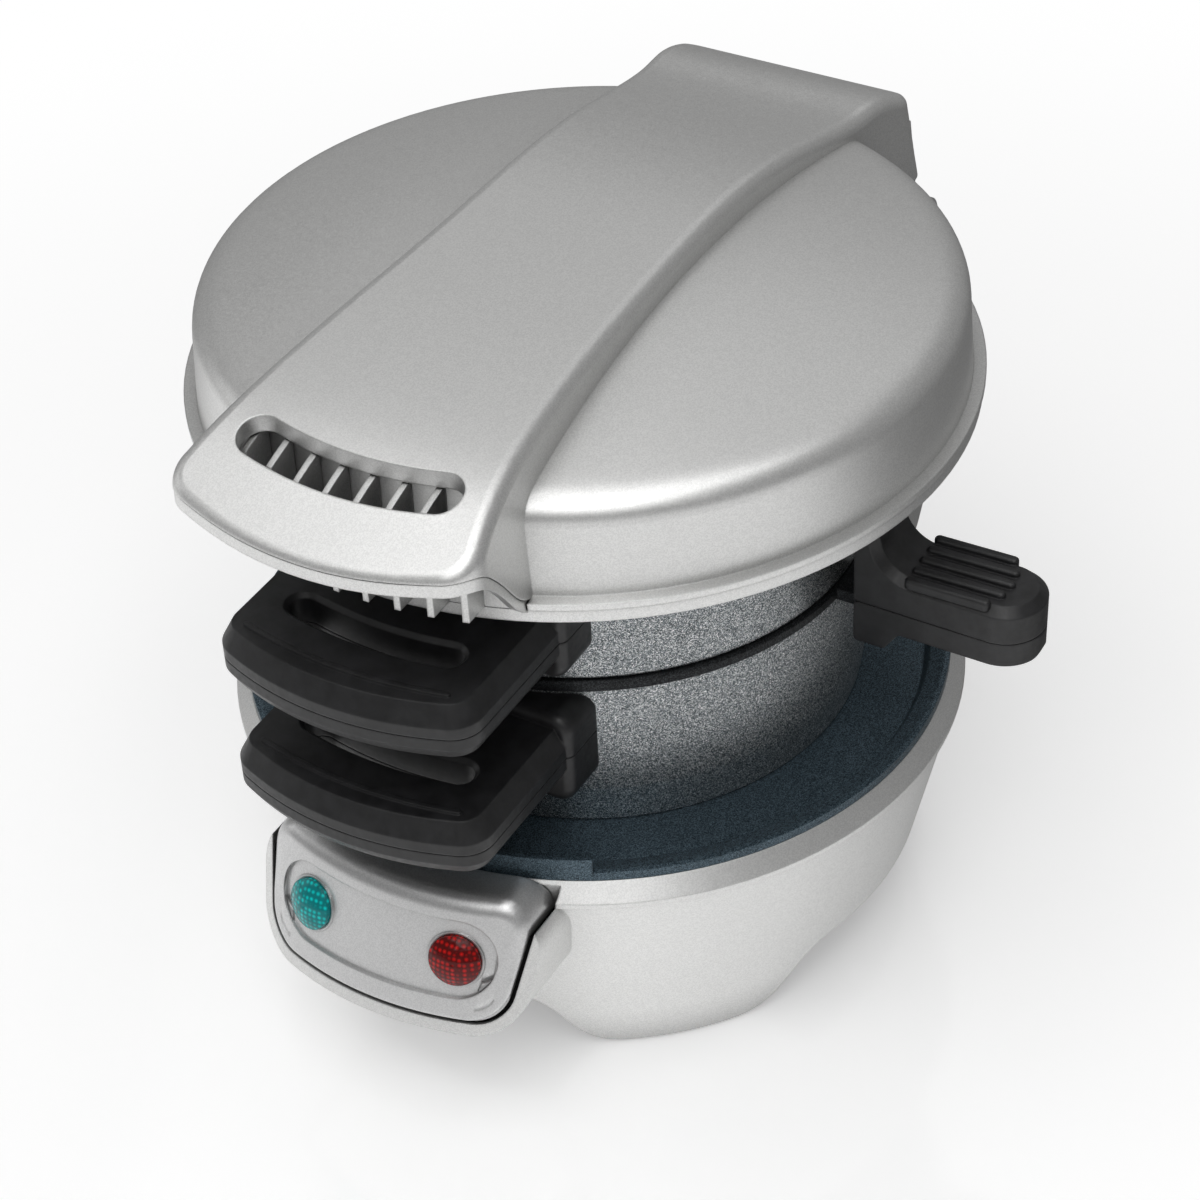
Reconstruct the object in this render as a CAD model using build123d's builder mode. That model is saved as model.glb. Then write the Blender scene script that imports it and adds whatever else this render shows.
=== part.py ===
"""Breakfast sandwich maker: a base with a dished heating plate, two stacked rings with a swing-out
cooking plate between them, and a domed lid. The rings and the lid all open on one rear hinge pin.

Millimetres, +Z up, the handles and the panel face -Y. The pieces are drawn about the ring axis and
saved with the origin on the table, under the middle of the whole outline.
"""
import os
from math import atan, cos, degrees, radians, sin, sqrt

from build123d import *

os.makedirs("parts", exist_ok=True)

# ---------------------------------------------------------------- clearances
moving_gap = 0.3            # between bodies that move past each other
seam_gap = 0.2              # between fixed shells at a visible seam
running_fit = 0.05          # radial, between a pin and the bore that turns on it
seat_gap = 0.1              # radial, between fixed pieces with curved faces

# ---------------------------------------------------------------- heights of the stack
foot_proud = 1.0            # the rubber feet stand this far below the skirt
tray_floor_z = 53.5
lower_ring_height = 33.9
plate_thickness = 2.6
upper_ring_height = 30.6
lower_ring_foot_z = tray_floor_z + moving_gap
lower_ring_top_z = lower_ring_foot_z + lower_ring_height
plate_bottom_z = lower_ring_top_z + moving_gap
plate_top_z = plate_bottom_z + plate_thickness
upper_ring_foot_z = plate_top_z + moving_gap
upper_ring_top_z = upper_ring_foot_z + upper_ring_height
lid_underside_z = upper_ring_top_z + moving_gap

# ---------------------------------------------------------------- rings and plate
ring_bore_radius = 51.5
ring_wall = 4.5
ring_outer_radius = ring_bore_radius + ring_wall
ring_foot_inset = 1.2       # the outside narrows by this towards the foot
ring_foot_taper_height = 9.0
plate_overhang = 1.0        # the cooking plate is this much larger than the rings

# ---------------------------------------------------------------- base
rim_radius = 76.1
rim_overhang = 1.1          # of the rim over the bowl
bowl_taper = 10.8           # the bowl is this much narrower at its foot
bowl_top_radius = rim_radius - rim_overhang
bowl_bottom_radius = bowl_top_radius - bowl_taper
bowl_top_z = 49.6
bowl_wall = 2.4
rim_edge_z = 51.3
rim_top_z = 54.7
tray_lip_radius = rim_radius - 3.1
tray_lip_height = 2.0
tray_lip_width = 3.2
tray_thickness = 3.0
tray_bore_gap = 0.6         # air between the tray's wall and the housing
arch_height = 15.0          # the skirt is arched between its four feet
side_arch_foot = 38.5       # half width of a side arch at its foot
side_arch_top = 19.0        # and along its top
front_arch_foot = 34.5
front_arch_top = 15.5
rim_ledge_depth = 4.0       # the bore narrows under the rim over this height
lip_edge_width = 1.1
splash_wall_height = 3.3    # the lip stands higher over the panel
splash_wall_sweep = 58.0

# ---------------------------------------------------------------- front pod and control panel
pod_top_half_width = 33.2
pod_bottom_half_width = 29.2
pod_bottom_z = 28.0
pod_corner_radius = 10.0
pod_lean = 18.4             # degrees, the foot of the face stands further forward
pod_face_radius = 70.7
pod_face_y = -87.2          # middle of the face, at the height of the lenses
lens_z = 43.6
lens_spacing = 33.2
frame_width = 2.4           # housing left round the panel
frame_setback = 0.5         # the frame lies behind the panel's face
panel_gap = 0.9             # filled by a black seal
panel_wall = 2.4
panel_top_z = 56.0
panel_top_round = 4.0
lens_radius = 5.2
lens_stem_radius = 4.3
lens_dome = 1.6
lens_flange = 0.8
bezel_half_height = 8.0
bezel_depth = 0.7
bezel_rim = 0.6             # slight ring round each lens
bezel_rim_height = 0.2
seal_setback = 1.1          # the seal lies this far behind the panel's face

# ---------------------------------------------------------------- hinge
hinge_y = 82.0
hinge_z = 118.0
hinge_pin_radius = 2.5
knuckle_radius = 7.0
bracket_ear_inner = 30.3
bracket_ear_width = 4.2
bracket_ear_radius = 6.4
bracket_half_width = 36.0
bracket_back_y = 90.0
bracket_foot_height = 4.0
cross_wall_top_z = 85.0
rear_pod_bottom_z = 27.0
upper_arm_inner = 16.0
upper_arm_width = 6.0
tongue_half_width = 11.0

# ---------------------------------------------------------------- lid
flange_radius = 77.6
flange_top_z = 126.0
lid_wall_foot_radius = 75.1
lid_wall_top_radius = 74.2
lid_wall_top_z = 140.0
lid_shoulder_radius = 68.0
lid_shoulder_z = 145.6
lid_apex_z = 152.3
lid_shell = 2.0
lower_lip_radius = 77.2
lower_lip_height = 2.6
lower_shell = 2.0
strap_edge_round = 2.8       # along the top's edges
hood_corner_radius = 5.0
strap_waist = 22.9          # half width of the strap's top over the middle of the dome
strap_waist_y = 10.0
strap_neck = 26.6           # and where the handle begins
strap_neck_y = -62.0
strap_tip = 31.6            # and at the handle's corners
strap_tip_y = -90.0
strap_rear = 25.6
strap_rear_flare = 5.8      # the hood widens and leans back towards its foot
strap_rear_y = 89.2
strap_flare = 3.2           # the sides widen by this from top to foot, but not at the rear
strap_high_z = 160.0
strap_low_z = 110.0
handle_front_y = -97.0
handle_corner_radius = 7.0
strap_skin = 2.2
lid_slot_radius = 80.5
lid_slot_width = 8.5
lid_slot_half_angle = 13.4
rib_pitch = 6.3
rib_thickness = 1.2
rib_count = 8
rib_reach = 7.0
handle_wall = 1.8           # the curved wall under the lid's handle
handle_wall_top_z = 134.0
blade_drop = 3.9            # from the strap's top down to the blades
blade_bottom_z = 124.4

# ---------------------------------------------------------------- front handles of the two rings
front_handle_half_width = 27.4
front_handle_length = 38.4   # from the ring to the middle of the front
front_handle_reach = ring_outer_radius + front_handle_length
front_handle_arc = 64.0
front_handle_corner = 6.5
front_handle_top = 6.6      # height of the upper half above the split
front_handle_bottom = 4.8   # depth of the lower half below the split
front_handle_bevel = 2.2
lower_handle_split_z = 78.1
upper_handle_split_z = 106.1
handle_root_y = -58.4       # face of the root block, just ahead of the ring
handle_root_depth = 6.0
handle_root_round = 4.0
lower_root_bottom_z = 66.0
lower_root_top_z = 87.2
upper_root_bottom_z = 96.6
upper_root_top_z = 115.0
handle_slot_radius = ring_outer_radius + 0.568 * front_handle_length
handle_slot_width = 5.6
handle_slot_half_angle = 11.6
handle_ridge_radius = ring_outer_radius + 0.849 * front_handle_length
handle_ridge_half_angle = 14.0
tang_thickness = 3.0
tang_half_width = 19.0

# ---------------------------------------------------------------- side handle of the cooking plate
side_root_x = 61.5
side_handle_y = -0.7
side_handle_turn = 1.5
side_root_half_width = 7.4
side_end_half_width = 8.4
side_handle_length = 36.0
side_root_length = 6.5
side_split_z = 91.6
side_handle_top = 7.9
side_handle_bottom = 5.2
side_root_bottom_z = 82.0
side_root_top_z = 113.0
side_fillet = 8.0
side_bevel = 1.8
grip_rib_count = 5
grip_rib_pitch = 3.5
grip_rib_width = 2.0
grip_rib_height = 1.1
grip_rib_round = 0.7
grip_rib_start = 10.4       # from the root's inner face
grip_rib_length = 19.4
grip_rib_step = 0.55        # the outer ribs end sooner
pivot_radius = 68.0         # from the ring axis to the plate's pivot
pivot_angle = 45.0
pivot_pin_radius = 2.0
pivot_boss_radius = 6.5

# ---------------------------------------------------------------- heaters and fittings
heater_plate_radius = 49.5
heater_plate_thickness = 3.0
element_radius = 33.0
element_tube_radius = 3.2
element_sweep = 310.0
shield_thickness = 0.8
screw_radius = 1.6
screw_head_radius = 3.0
screw_head_height = 1.8

# ---------------------------------------------------------------- derived places
skirt_bottom_z = foot_proud
side_end_x = side_root_x + side_handle_length
plan_middle_x = (side_end_x - flange_radius) / 2
pivot_x = pivot_radius * cos(radians(pivot_angle))
pivot_y = pivot_radius * sin(radians(pivot_angle))
plate_radius = ring_outer_radius + plate_overhang
tray_lip_top_z = rim_top_z + tray_lip_height
rim_seat_radius = tray_lip_radius + seat_gap
housing_bore_radius = tray_lip_radius - tray_lip_width
tray_wall_radius = housing_bore_radius - tray_bore_gap
pod_axis_y = pod_face_y + pod_face_radius / cos(radians(pod_lean))
upper_arm_outer = upper_arm_inner + upper_arm_width
bracket_ear_outer = bracket_ear_inner + bracket_ear_width
lip_top_z = lid_underside_z + lower_lip_height
cover_seam_z = lip_top_z + seam_gap
element_drop = element_tube_radius + seat_gap


def save(part, name):
    """Moves a finished piece from the ring axis to the part's origin, labels it and writes its STEP file."""
    piece = part.moved(Location((-plan_middle_x, 0, 0)))
    piece.label = name
    export_step(piece, f"parts/{name}.step")


def bowl_radius(z):
    """Outer radius of the bowl at height z."""
    share = (z - skirt_bottom_z) / (bowl_top_z - skirt_bottom_z)
    return bowl_bottom_radius + share * (bowl_top_radius - bowl_bottom_radius)


def radial_plane(angle):
    """Vertical plane through the Z axis, its x direction at the given angle."""
    turn = radians(angle)
    return Plane(origin=(0, 0, 0), x_dir=(cos(turn), sin(turn), 0), z_dir=(sin(turn), -cos(turn), 0))


def screw(length, seat_z, head_up=True):
    """A pan-head screw on the Z axis whose head seats at seat_z."""
    turn = 0 if head_up else 180
    with BuildPart() as fastener:
        with Locations(Location((0, 0, seat_z), (turn, 0, 0))):
            Cylinder(screw_head_radius, screw_head_height, align=(Align.CENTER, Align.CENTER, Align.MIN))
            Cylinder(screw_radius, length, align=(Align.CENTER, Align.CENTER, Align.MAX))
    return fastener.part


# ================================================================ base housing
def pod_half_width(z):
    """Half width of the front pod at height z."""
    share = (z - pod_bottom_z) / (rim_top_z - pod_bottom_z)
    return pod_bottom_half_width + share * (pod_top_half_width - pod_bottom_half_width)


def pod_block(inset, setback, back_y, top_z):
    """Block behind the bowed, leaning face of the front pod, its outline inset all round."""
    low_z = pod_bottom_z + inset
    with BuildPart() as block:
        with BuildSketch(Plane.XZ.offset(-back_y)) as outline:
            with BuildLine():
                Polyline(
                    (-pod_half_width(top_z) + inset, top_z),
                    (-pod_half_width(low_z) + inset, low_z),
                    (pod_half_width(low_z) - inset, low_z),
                    (pod_half_width(top_z) - inset, top_z),
                    close=True,
                )
            make_face()
            fillet(outline.vertices().group_by(Axis.Z)[0], pod_corner_radius - inset)
        extrude(amount=-2 * pod_face_y)
        with Locations(Location((0, pod_axis_y, lens_z), (-pod_lean, 0, 0))):
            Cylinder(pod_face_radius - setback, 200, mode=Mode.INTERSECT)
    return block.part


def face_plane(x, z):
    """Plane on the panel's bowed face at (x, z), its normal pointing outwards."""
    lean = radians(pod_lean)
    chord = sqrt(pod_face_radius**2 - x**2)
    y = pod_axis_y + ((z - lens_z) * sin(lean) - chord) / cos(lean)
    normal = (x / pod_face_radius, -chord * cos(lean) / pod_face_radius, chord * sin(lean) / pod_face_radius)
    across = Vector(chord, x * cos(lean), -x * sin(lean)).normalized()
    return Plane(origin=(x, y, z), x_dir=across, z_dir=normal)


rear_pod_front_y = 60.0
lamp_lead_radius = 2.0
gland_z = 36.0
gland_radius = 5.0
gland_flange_radius = 7.5
cover_bottom_z = skirt_bottom_z + arch_height + 3.0
cover_thickness = 2.4
cover_top_z = cover_bottom_z + cover_thickness
boss_radius = 4.0
boss_ring_radius = 61.0
boss_top_z = 40.0
bracket_screw_x = 22.0
bracket_screw_y = 80.0
rim_ledge_z = bowl_top_z - rim_ledge_depth
ledge_radius = bowl_radius(rim_ledge_z - 2) - bowl_wall


with BuildSketch(Plane.XZ) as bowl_outside:
    with BuildLine():
        Polyline(
            (0, skirt_bottom_z),
            (bowl_bottom_radius, skirt_bottom_z),
            (bowl_top_radius, bowl_top_z),
            (rim_radius, bowl_top_z + (rim_radius - bowl_top_radius) / 2),
            (rim_radius, rim_edge_z),
            (rim_seat_radius, rim_top_z),
            (0, rim_top_z),
            close=True,
        )
    make_face()

with BuildPart() as cover_bosses:
    with PolarLocations(boss_ring_radius, 4):
        with Locations((0, 0, cover_top_z)):
            Cylinder(boss_radius, boss_top_z - cover_top_z, align=(Align.CENTER, Align.CENTER, Align.MIN))
            Box(20, 3, boss_top_z - cover_top_z, align=(Align.MIN, Align.CENTER, Align.MIN))
            Cylinder(screw_radius, 14, align=(Align.CENTER, Align.CENTER, Align.MIN), mode=Mode.SUBTRACT)
    revolve(bowl_outside.sketch, axis=Axis.Z, mode=Mode.INTERSECT)

with BuildPart() as base_housing:
    revolve(bowl_outside.sketch, axis=Axis.Z)
    # front pod, and the rear pod that carries the hinge
    add(pod_block(0, frame_setback, -bowl_bottom_radius, rim_top_z))
    with BuildSketch(Plane.XZ.offset(-rear_pod_front_y)) as rear_outline:
        with BuildLine():
            Polyline(
                (-bracket_half_width, rim_top_z),
                (-bracket_half_width + 5, rear_pod_bottom_z),
                (bracket_half_width - 5, rear_pod_bottom_z),
                (bracket_half_width, rim_top_z),
                close=True,
            )
        make_face()
        fillet(rear_outline.vertices().group_by(Axis.Z)[0], pod_corner_radius)
    extrude(amount=rear_pod_front_y - bracket_back_y)
    fillet(base_housing.edges().group_by(Axis.Y)[-1], 3.0)
    # open inside: a skirt below, a narrower bore for the dished plate under the rim
    with BuildSketch(Plane.XZ):
        with BuildLine():
            Polyline(
                (0, -1),
                (bowl_radius(-1) - bowl_wall, -1),
                (ledge_radius, rim_ledge_z - 2),
                (housing_bore_radius, rim_ledge_z),
                (housing_bore_radius, rim_top_z + 1),
                (0, rim_top_z + 1),
                close=True,
            )
        make_face()
    revolve(axis=Axis.Z, mode=Mode.SUBTRACT)
    with BuildSketch(Plane.XZ.offset(-rear_pod_front_y)):
        with Locations((0, rear_pod_bottom_z + bowl_wall)):
            Rectangle(
                2 * (bracket_half_width - 5 - 2 * bowl_wall),
                rim_ledge_z - rear_pod_bottom_z + 2,
                align=(Align.CENTER, Align.MIN),
            )
    extrude(amount=rear_pod_front_y - bracket_back_y + bowl_wall, mode=Mode.SUBTRACT)
    add(cover_bosses.part)
    # pocket for the control panel, with two holes for the lamp leads
    with BuildPart(mode=Mode.PRIVATE) as pocket:
        add(pod_block(frame_width, -10, pod_face_y / 2, rim_top_z + 5))
        Cylinder(rim_seat_radius + 0.6, 300, mode=Mode.SUBTRACT)
    add(pocket.part, mode=Mode.SUBTRACT)
    with Locations(Plane.XZ.offset(bowl_bottom_radius)):
        with Locations((-lens_spacing / 2, lens_z), (lens_spacing / 2, lens_z)):
            Cylinder(lamp_lead_radius, 30, mode=Mode.SUBTRACT)
    # arches between the four feet
    arch_top_z = skirt_bottom_z + arch_height
    for side, foot, top in (
        (Plane.YZ, side_arch_foot, side_arch_top),
        (Plane.XZ, front_arch_foot, front_arch_top),
    ):
        with BuildSketch(side):
            with BuildLine():
                rise = Spline((-foot, skirt_bottom_z), (-top, arch_top_z), tangents=((1, 0), (1, 0)))
                fall = Spline((top, arch_top_z), (foot, skirt_bottom_z), tangents=((1, 0), (1, 0)))
                Line(rise @ 1, fall @ 0)
                Polyline(fall @ 1, (foot, -5), (-foot, -5), rise @ 0)
            make_face()
        extrude(amount=100, both=True, mode=Mode.SUBTRACT)
    # cord entry at the back, screw holes under the hinge bracket
    with Locations(Location((0, bracket_back_y, gland_z), (90, 0, 0))):
        Cylinder(gland_radius + seat_gap, 20, mode=Mode.SUBTRACT)
    with Locations((-bracket_screw_x, bracket_screw_y, rim_top_z), (bracket_screw_x, bracket_screw_y, rim_top_z)):
        Cylinder(screw_radius, 24, mode=Mode.SUBTRACT)
save(base_housing.part, "base_housing")

# ---------------------------------------------------------------- bottom cover and feet
foot_ring_radius = 53.0
foot_radius = 6.0
foot_height = 4.0
foot_stem_radius = 2.5
foot_stem = 3.5
leg_radius = 7.5
cover_radius = bowl_radius(cover_bottom_z) - bowl_wall - 2.0

with BuildPart() as bottom_cover:
    with Locations((0, 0, cover_bottom_z)):
        Cylinder(cover_radius, cover_thickness, align=(Align.CENTER, Align.CENTER, Align.MIN))
    with PolarLocations(foot_ring_radius, 4, 45):
        with Locations((0, 0, foot_height)):
            Cylinder(leg_radius, cover_bottom_z - foot_height, align=(Align.CENTER, Align.CENTER, Align.MIN))
            Cylinder(
                foot_stem_radius + seat_gap,
                foot_stem + seat_gap,
                align=(Align.CENTER, Align.CENTER, Align.MIN),
                mode=Mode.SUBTRACT,
            )
    with PolarLocations(boss_ring_radius, 4):
        with Locations((0, 0, cover_bottom_z)):
            Cylinder(screw_radius + 0.3, 20, mode=Mode.SUBTRACT)
    # vents
    with PolarLocations(28, 12):
        with Locations((0, 0, cover_bottom_z)):
            Box(16, 3, 20, mode=Mode.SUBTRACT)
save(bottom_cover.part, "bottom_cover")

corners = ["front_right", "rear_right", "rear_left", "front_left"]
for turn, corner in zip(range(-45, 315, 90), corners):
    place = Location((foot_ring_radius * cos(radians(turn)), foot_ring_radius * sin(radians(turn)), 0))
    with BuildPart() as foot:
        with BuildPart(mode=Mode.PRIVATE) as pad:
            Cylinder(foot_radius, foot_height, align=(Align.CENTER, Align.CENTER, Align.MIN))
            fillet(pad.edges().group_by(Axis.Z)[0], 0.8)
            with Locations((0, 0, foot_height)):
                Cylinder(foot_stem_radius, foot_stem, align=(Align.CENTER, Align.CENTER, Align.MIN))
        add(pad.part.moved(place))
    save(foot.part, f"foot_{corner}")

# ---------------------------------------------------------------- dished heating plate
tray_floor_bottom_z = tray_floor_z - tray_thickness
element_z = tray_floor_bottom_z - element_tube_radius / 2
shield_top_z = element_z - element_drop
shield_boss_ring = 50.0
thermostat_radius = 8.0
thermostat_height = 7.0
ear_length = 28.0
ear_screw_x = 11.0

with BuildPart() as bottom_heating_plate:
    with BuildSketch(Plane.XZ):
        with BuildLine():
            Polyline(
                (0, tray_floor_bottom_z),
                (tray_wall_radius, tray_floor_bottom_z),
                (tray_wall_radius, rim_top_z),
                (tray_lip_radius, rim_top_z),
                (tray_lip_radius, tray_lip_top_z),
                (tray_lip_radius - lip_edge_width, tray_lip_top_z),
                (tray_wall_radius - 0.4, tray_lip_top_z - 0.8),
                (tray_wall_radius - 1.6, tray_floor_z),
                (0, tray_floor_z),
                close=True,
            )
        make_face()
    revolve(axis=Axis.Z)
    with BuildSketch(radial_plane(-90 - splash_wall_sweep / 2)):
        with Locations((tray_lip_radius, rim_top_z)):
            Rectangle(lip_edge_width, tray_lip_height + splash_wall_height, align=(Align.MAX, Align.MIN))
    revolve(axis=Axis.Z, revolution_arc=splash_wall_sweep)
    with PolarLocations(shield_boss_ring, 3, 90):
        with Locations((0, 0, tray_floor_bottom_z)):
            Cylinder(boss_radius, tray_floor_bottom_z - shield_top_z, align=(Align.CENTER, Align.CENTER, Align.MAX))
        with Locations((0, 0, shield_top_z)):
            Cylinder(screw_radius, 12, mode=Mode.SUBTRACT)
    with Locations((0, 0, element_z)):
        Torus(element_radius, element_tube_radius + seat_gap, mode=Mode.SUBTRACT)
    with Locations((-ear_screw_x, 0, tray_floor_bottom_z), (ear_screw_x, 0, tray_floor_bottom_z)):
        Cylinder(screw_radius, 4, mode=Mode.SUBTRACT)
save(bottom_heating_plate.part, "bottom_heating_plate")


def heating_element(z, rise):
    """C-shaped tube, open at the back, whose two ends turn down or up by rise."""
    gap = (360 - element_sweep) / 2
    with BuildPart() as element:
        with BuildSketch(radial_plane(90 + gap)) as section:
            with Locations((element_radius, z)):
                Circle(element_tube_radius)
        revolve(axis=Axis.Z, revolution_arc=element_sweep)
        with PolarLocations(element_radius, 2, 90 + gap, -2 * gap, endpoint=True):
            with Locations((0, 0, z)):
                Sphere(element_tube_radius)
                Cylinder(
                    element_tube_radius,
                    abs(rise),
                    align=(Align.CENTER, Align.CENTER, Align.MIN if rise > 0 else Align.MAX),
                )
    return element.part


save(heating_element(element_z, -11), "bottom_heating_element")

shield_radius = 56.0
with BuildPart() as heat_shield:
    with Locations((0, 0, shield_top_z)):
        Cylinder(shield_radius, shield_thickness, align=(Align.CENTER, Align.CENTER, Align.MAX))
        Cylinder(ear_length / 2 + 2, 10, mode=Mode.SUBTRACT)
        with PolarLocations(shield_boss_ring, 3, 90):
            Cylinder(screw_radius + 0.3, 10, mode=Mode.SUBTRACT)
        # the element's two ends come down through here
        with PolarLocations(element_radius, 2, 90 + (360 - element_sweep) / 2, element_sweep - 360, endpoint=True):
            Cylinder(element_tube_radius + 1, 10, mode=Mode.SUBTRACT)
save(heat_shield.part, "heat_shield")

with BuildPart() as thermostat:
    with Locations((0, 0, tray_floor_bottom_z)):
        Cylinder(thermostat_radius, thermostat_height, align=(Align.CENTER, Align.CENTER, Align.MAX))
        Box(ear_length, 8, 1, align=(Align.CENTER, Align.CENTER, Align.MAX))
        with Locations((-ear_screw_x, 0, 0), (ear_screw_x, 0, 0)):
            Cylinder(screw_radius + seat_gap, 4, mode=Mode.SUBTRACT)
    with Locations((-4, 0, tray_floor_bottom_z - thermostat_height), (4, 0, tray_floor_bottom_z - thermostat_height)):
        Box(0.8, 5, 7, align=(Align.CENTER, Align.CENTER, Align.MAX))
save(thermostat.part, "thermostat")

# thermal fuse in its clip, beside the thermostat
fuse_y = 12.0
fuse_radius = 1.8
with BuildPart() as thermal_fuse:
    with Locations(Location((0, fuse_y, tray_floor_bottom_z - fuse_radius), (0, 90, 0))):
        Cylinder(fuse_radius, 11)
        Cylinder(0.5, 20)
    with Locations((0, fuse_y, tray_floor_bottom_z - fuse_radius)):
        Box(4, 5.2, 2 * fuse_radius)
save(thermal_fuse.part, "thermal_fuse")

# ---------------------------------------------------------------- control panel and lamps
panel_inset = frame_width + panel_gap
panel_back_radius = rim_seat_radius + 0.6 + moving_gap
seal_clearance = 0.05
lens_planes = [face_plane(-lens_spacing / 2, lens_z), face_plane(lens_spacing / 2, lens_z)]

with BuildPart() as control_panel:
    add(pod_block(panel_inset, 0, pod_face_y / 2, panel_top_z))
    top_edge = control_panel.edges().group_by(Axis.Z)[-1].sort_by(Axis.Y)[0]
    fillet(top_edge, panel_top_round)
    Cylinder(panel_back_radius, 300, mode=Mode.SUBTRACT)
    # hollow behind the face
    with BuildPart(mode=Mode.PRIVATE) as hollow:
        add(pod_block(panel_inset + panel_wall, panel_wall, pod_face_y / 2, panel_top_z - panel_wall))
    add(hollow.part, mode=Mode.SUBTRACT)
    # shallow recess shared by the two lenses, then a raised ring and a hole for each
    with BuildPart(mode=Mode.PRIVATE) as recess:
        with BuildSketch(Plane.XZ.offset(-pod_face_y / 2)):
            with Locations((0, lens_z)):
                SlotCenterToCenter(lens_spacing, 2 * bezel_half_height)
        extrude(amount=-2 * pod_face_y)
        add(pod_block(panel_inset + 1, bezel_depth, pod_face_y / 2, panel_top_z), mode=Mode.SUBTRACT)
    add(recess.part, mode=Mode.SUBTRACT)
    for plane in lens_planes:
        with BuildSketch(plane.offset(-panel_wall)):
            Circle(lens_radius + bezel_rim)
        extrude(amount=panel_wall - bezel_depth + bezel_rim_height)
        with BuildSketch(plane.offset(-panel_wall)):
            Circle(lens_stem_radius + seat_gap)
        extrude(amount=10, both=True, mode=Mode.SUBTRACT)
        with BuildSketch(plane.offset(-lens_flange)):
            Circle(lens_radius + seat_gap)
        extrude(amount=10, mode=Mode.SUBTRACT)
save(control_panel.part, "control_panel")

# black seal that fills the seam between the panel and its frame
with BuildPart() as panel_seal:
    add(pod_block(frame_width + seal_clearance, seal_setback, pod_face_y / 2, rim_top_z - 0.4))
    add(pod_block(panel_inset - seal_clearance, -1, pod_face_y / 2, rim_top_z + 5), mode=Mode.SUBTRACT)
    Cylinder(panel_back_radius, 300, mode=Mode.SUBTRACT)
save(panel_seal.part, "panel_seal")

for plane, name in zip(lens_planes, ["preheat", "power"]):
    with BuildPart() as lens:
        with BuildSketch(plane.offset(-lens_flange)):
            Circle(lens_radius)
        extrude(amount=lens_flange + 0.4)
        with BuildSketch(plane.offset(-panel_wall - 5)):
            Circle(lens_stem_radius)
        extrude(amount=panel_wall + 5)
        cap_radius = (lens_radius**2 + lens_dome**2) / (2 * lens_dome)
        with BuildPart(mode=Mode.PRIVATE) as cap:
            with BuildSketch(plane.offset(0.4)):
                Circle(lens_radius)
            extrude(amount=lens_dome)
            with Locations(plane.offset(0.4 + lens_dome - cap_radius)):
                Sphere(cap_radius, mode=Mode.INTERSECT)
        add(cap.part)
        with BuildSketch(plane.offset(-panel_wall - 5)):
            Circle(lens_stem_radius - 1.6)
        extrude(amount=panel_wall + 3.5, mode=Mode.SUBTRACT)
    save(lens.part, f"{name}_lens")
    with BuildPart() as lamp:
        with BuildSketch(plane.offset(-panel_wall - 5)):
            Circle(lens_stem_radius - 2.2)
        extrude(amount=4.5)
        fillet(lamp.edges().sort_by(Axis(plane.origin, plane.z_dir))[-1], 1.2)
        with BuildSketch(plane.offset(-panel_wall - 5)):
            Circle(lens_stem_radius)
        extrude(amount=-1.6)
    save(lamp.part, f"{name}_lamp")

# ---------------------------------------------------------------- hinge bracket and pin
pin_half_length = bracket_ear_outer + 1.6
pin_head_radius = 4.0
pin_head = 1.8

with BuildPart() as hinge_bracket:
    with Locations((0, 0, rim_top_z)):
        with Locations((0, bracket_back_y, 0)):
            Box(
                2 * bracket_half_width,
                bracket_back_y - rim_seat_radius / 2,
                bracket_foot_height,
                align=(Align.CENTER, Align.MAX, Align.MIN),
            )
        Cylinder(rim_seat_radius + 1, 40, mode=Mode.SUBTRACT)
    fillet(hinge_bracket.edges().filter_by(Axis.Z).group_by(Axis.Y)[-1], 3.0)
    # two ears for the pin
    with BuildSketch(Plane.YZ.offset(-bracket_ear_outer)):
        with Locations((hinge_y, hinge_z)):
            Circle(bracket_ear_radius)
            Rectangle(2 * bracket_ear_radius, hinge_z - rim_top_z, align=(Align.CENTER, Align.MAX))
    extrude(amount=2 * bracket_ear_outer)
    with Locations((0, hinge_y, rim_top_z + bracket_foot_height)):
        Box(2 * bracket_ear_inner, 40, 100, align=(Align.CENTER, Align.CENTER, Align.MIN), mode=Mode.SUBTRACT)
    # wall that ties the ears together
    with Locations((0, bracket_back_y - 0.4, rim_top_z)):
        Box(2 * bracket_ear_inner, 5, cross_wall_top_z - rim_top_z, align=(Align.CENTER, Align.MAX, Align.MIN))
    with Locations(Location((0, hinge_y, hinge_z), (0, 90, 0))):
        Cylinder(hinge_pin_radius + seat_gap, 200, mode=Mode.SUBTRACT)
    with Locations((-bracket_screw_x, bracket_screw_y, rim_top_z), (bracket_screw_x, bracket_screw_y, rim_top_z)):
        Cylinder(screw_radius + 0.3, 20, mode=Mode.SUBTRACT)
save(hinge_bracket.part, "hinge_bracket")

with BuildPart() as hinge_pin:
    with Locations(Location((0, hinge_y, hinge_z), (0, 90, 0))):
        Cylinder(hinge_pin_radius, 2 * pin_half_length)
    with Locations(Location((-bracket_ear_outer, hinge_y, hinge_z), (0, -90, 0))):
        Cylinder(pin_head_radius, pin_head, align=(Align.CENTER, Align.CENTER, Align.MIN))
    with Locations(Location((bracket_ear_outer + seat_gap, hinge_y, hinge_z), (0, 90, 0))):
        with BuildPart(mode=Mode.PRIVATE) as groove:
            Cylinder(hinge_pin_radius + 1, 0.9, align=(Align.CENTER, Align.CENTER, Align.MIN))
            Cylinder(hinge_pin_radius - 0.6, 5, mode=Mode.SUBTRACT)
        add(groove.part, mode=Mode.SUBTRACT)
save(hinge_pin.part, "hinge_pin")

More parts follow.
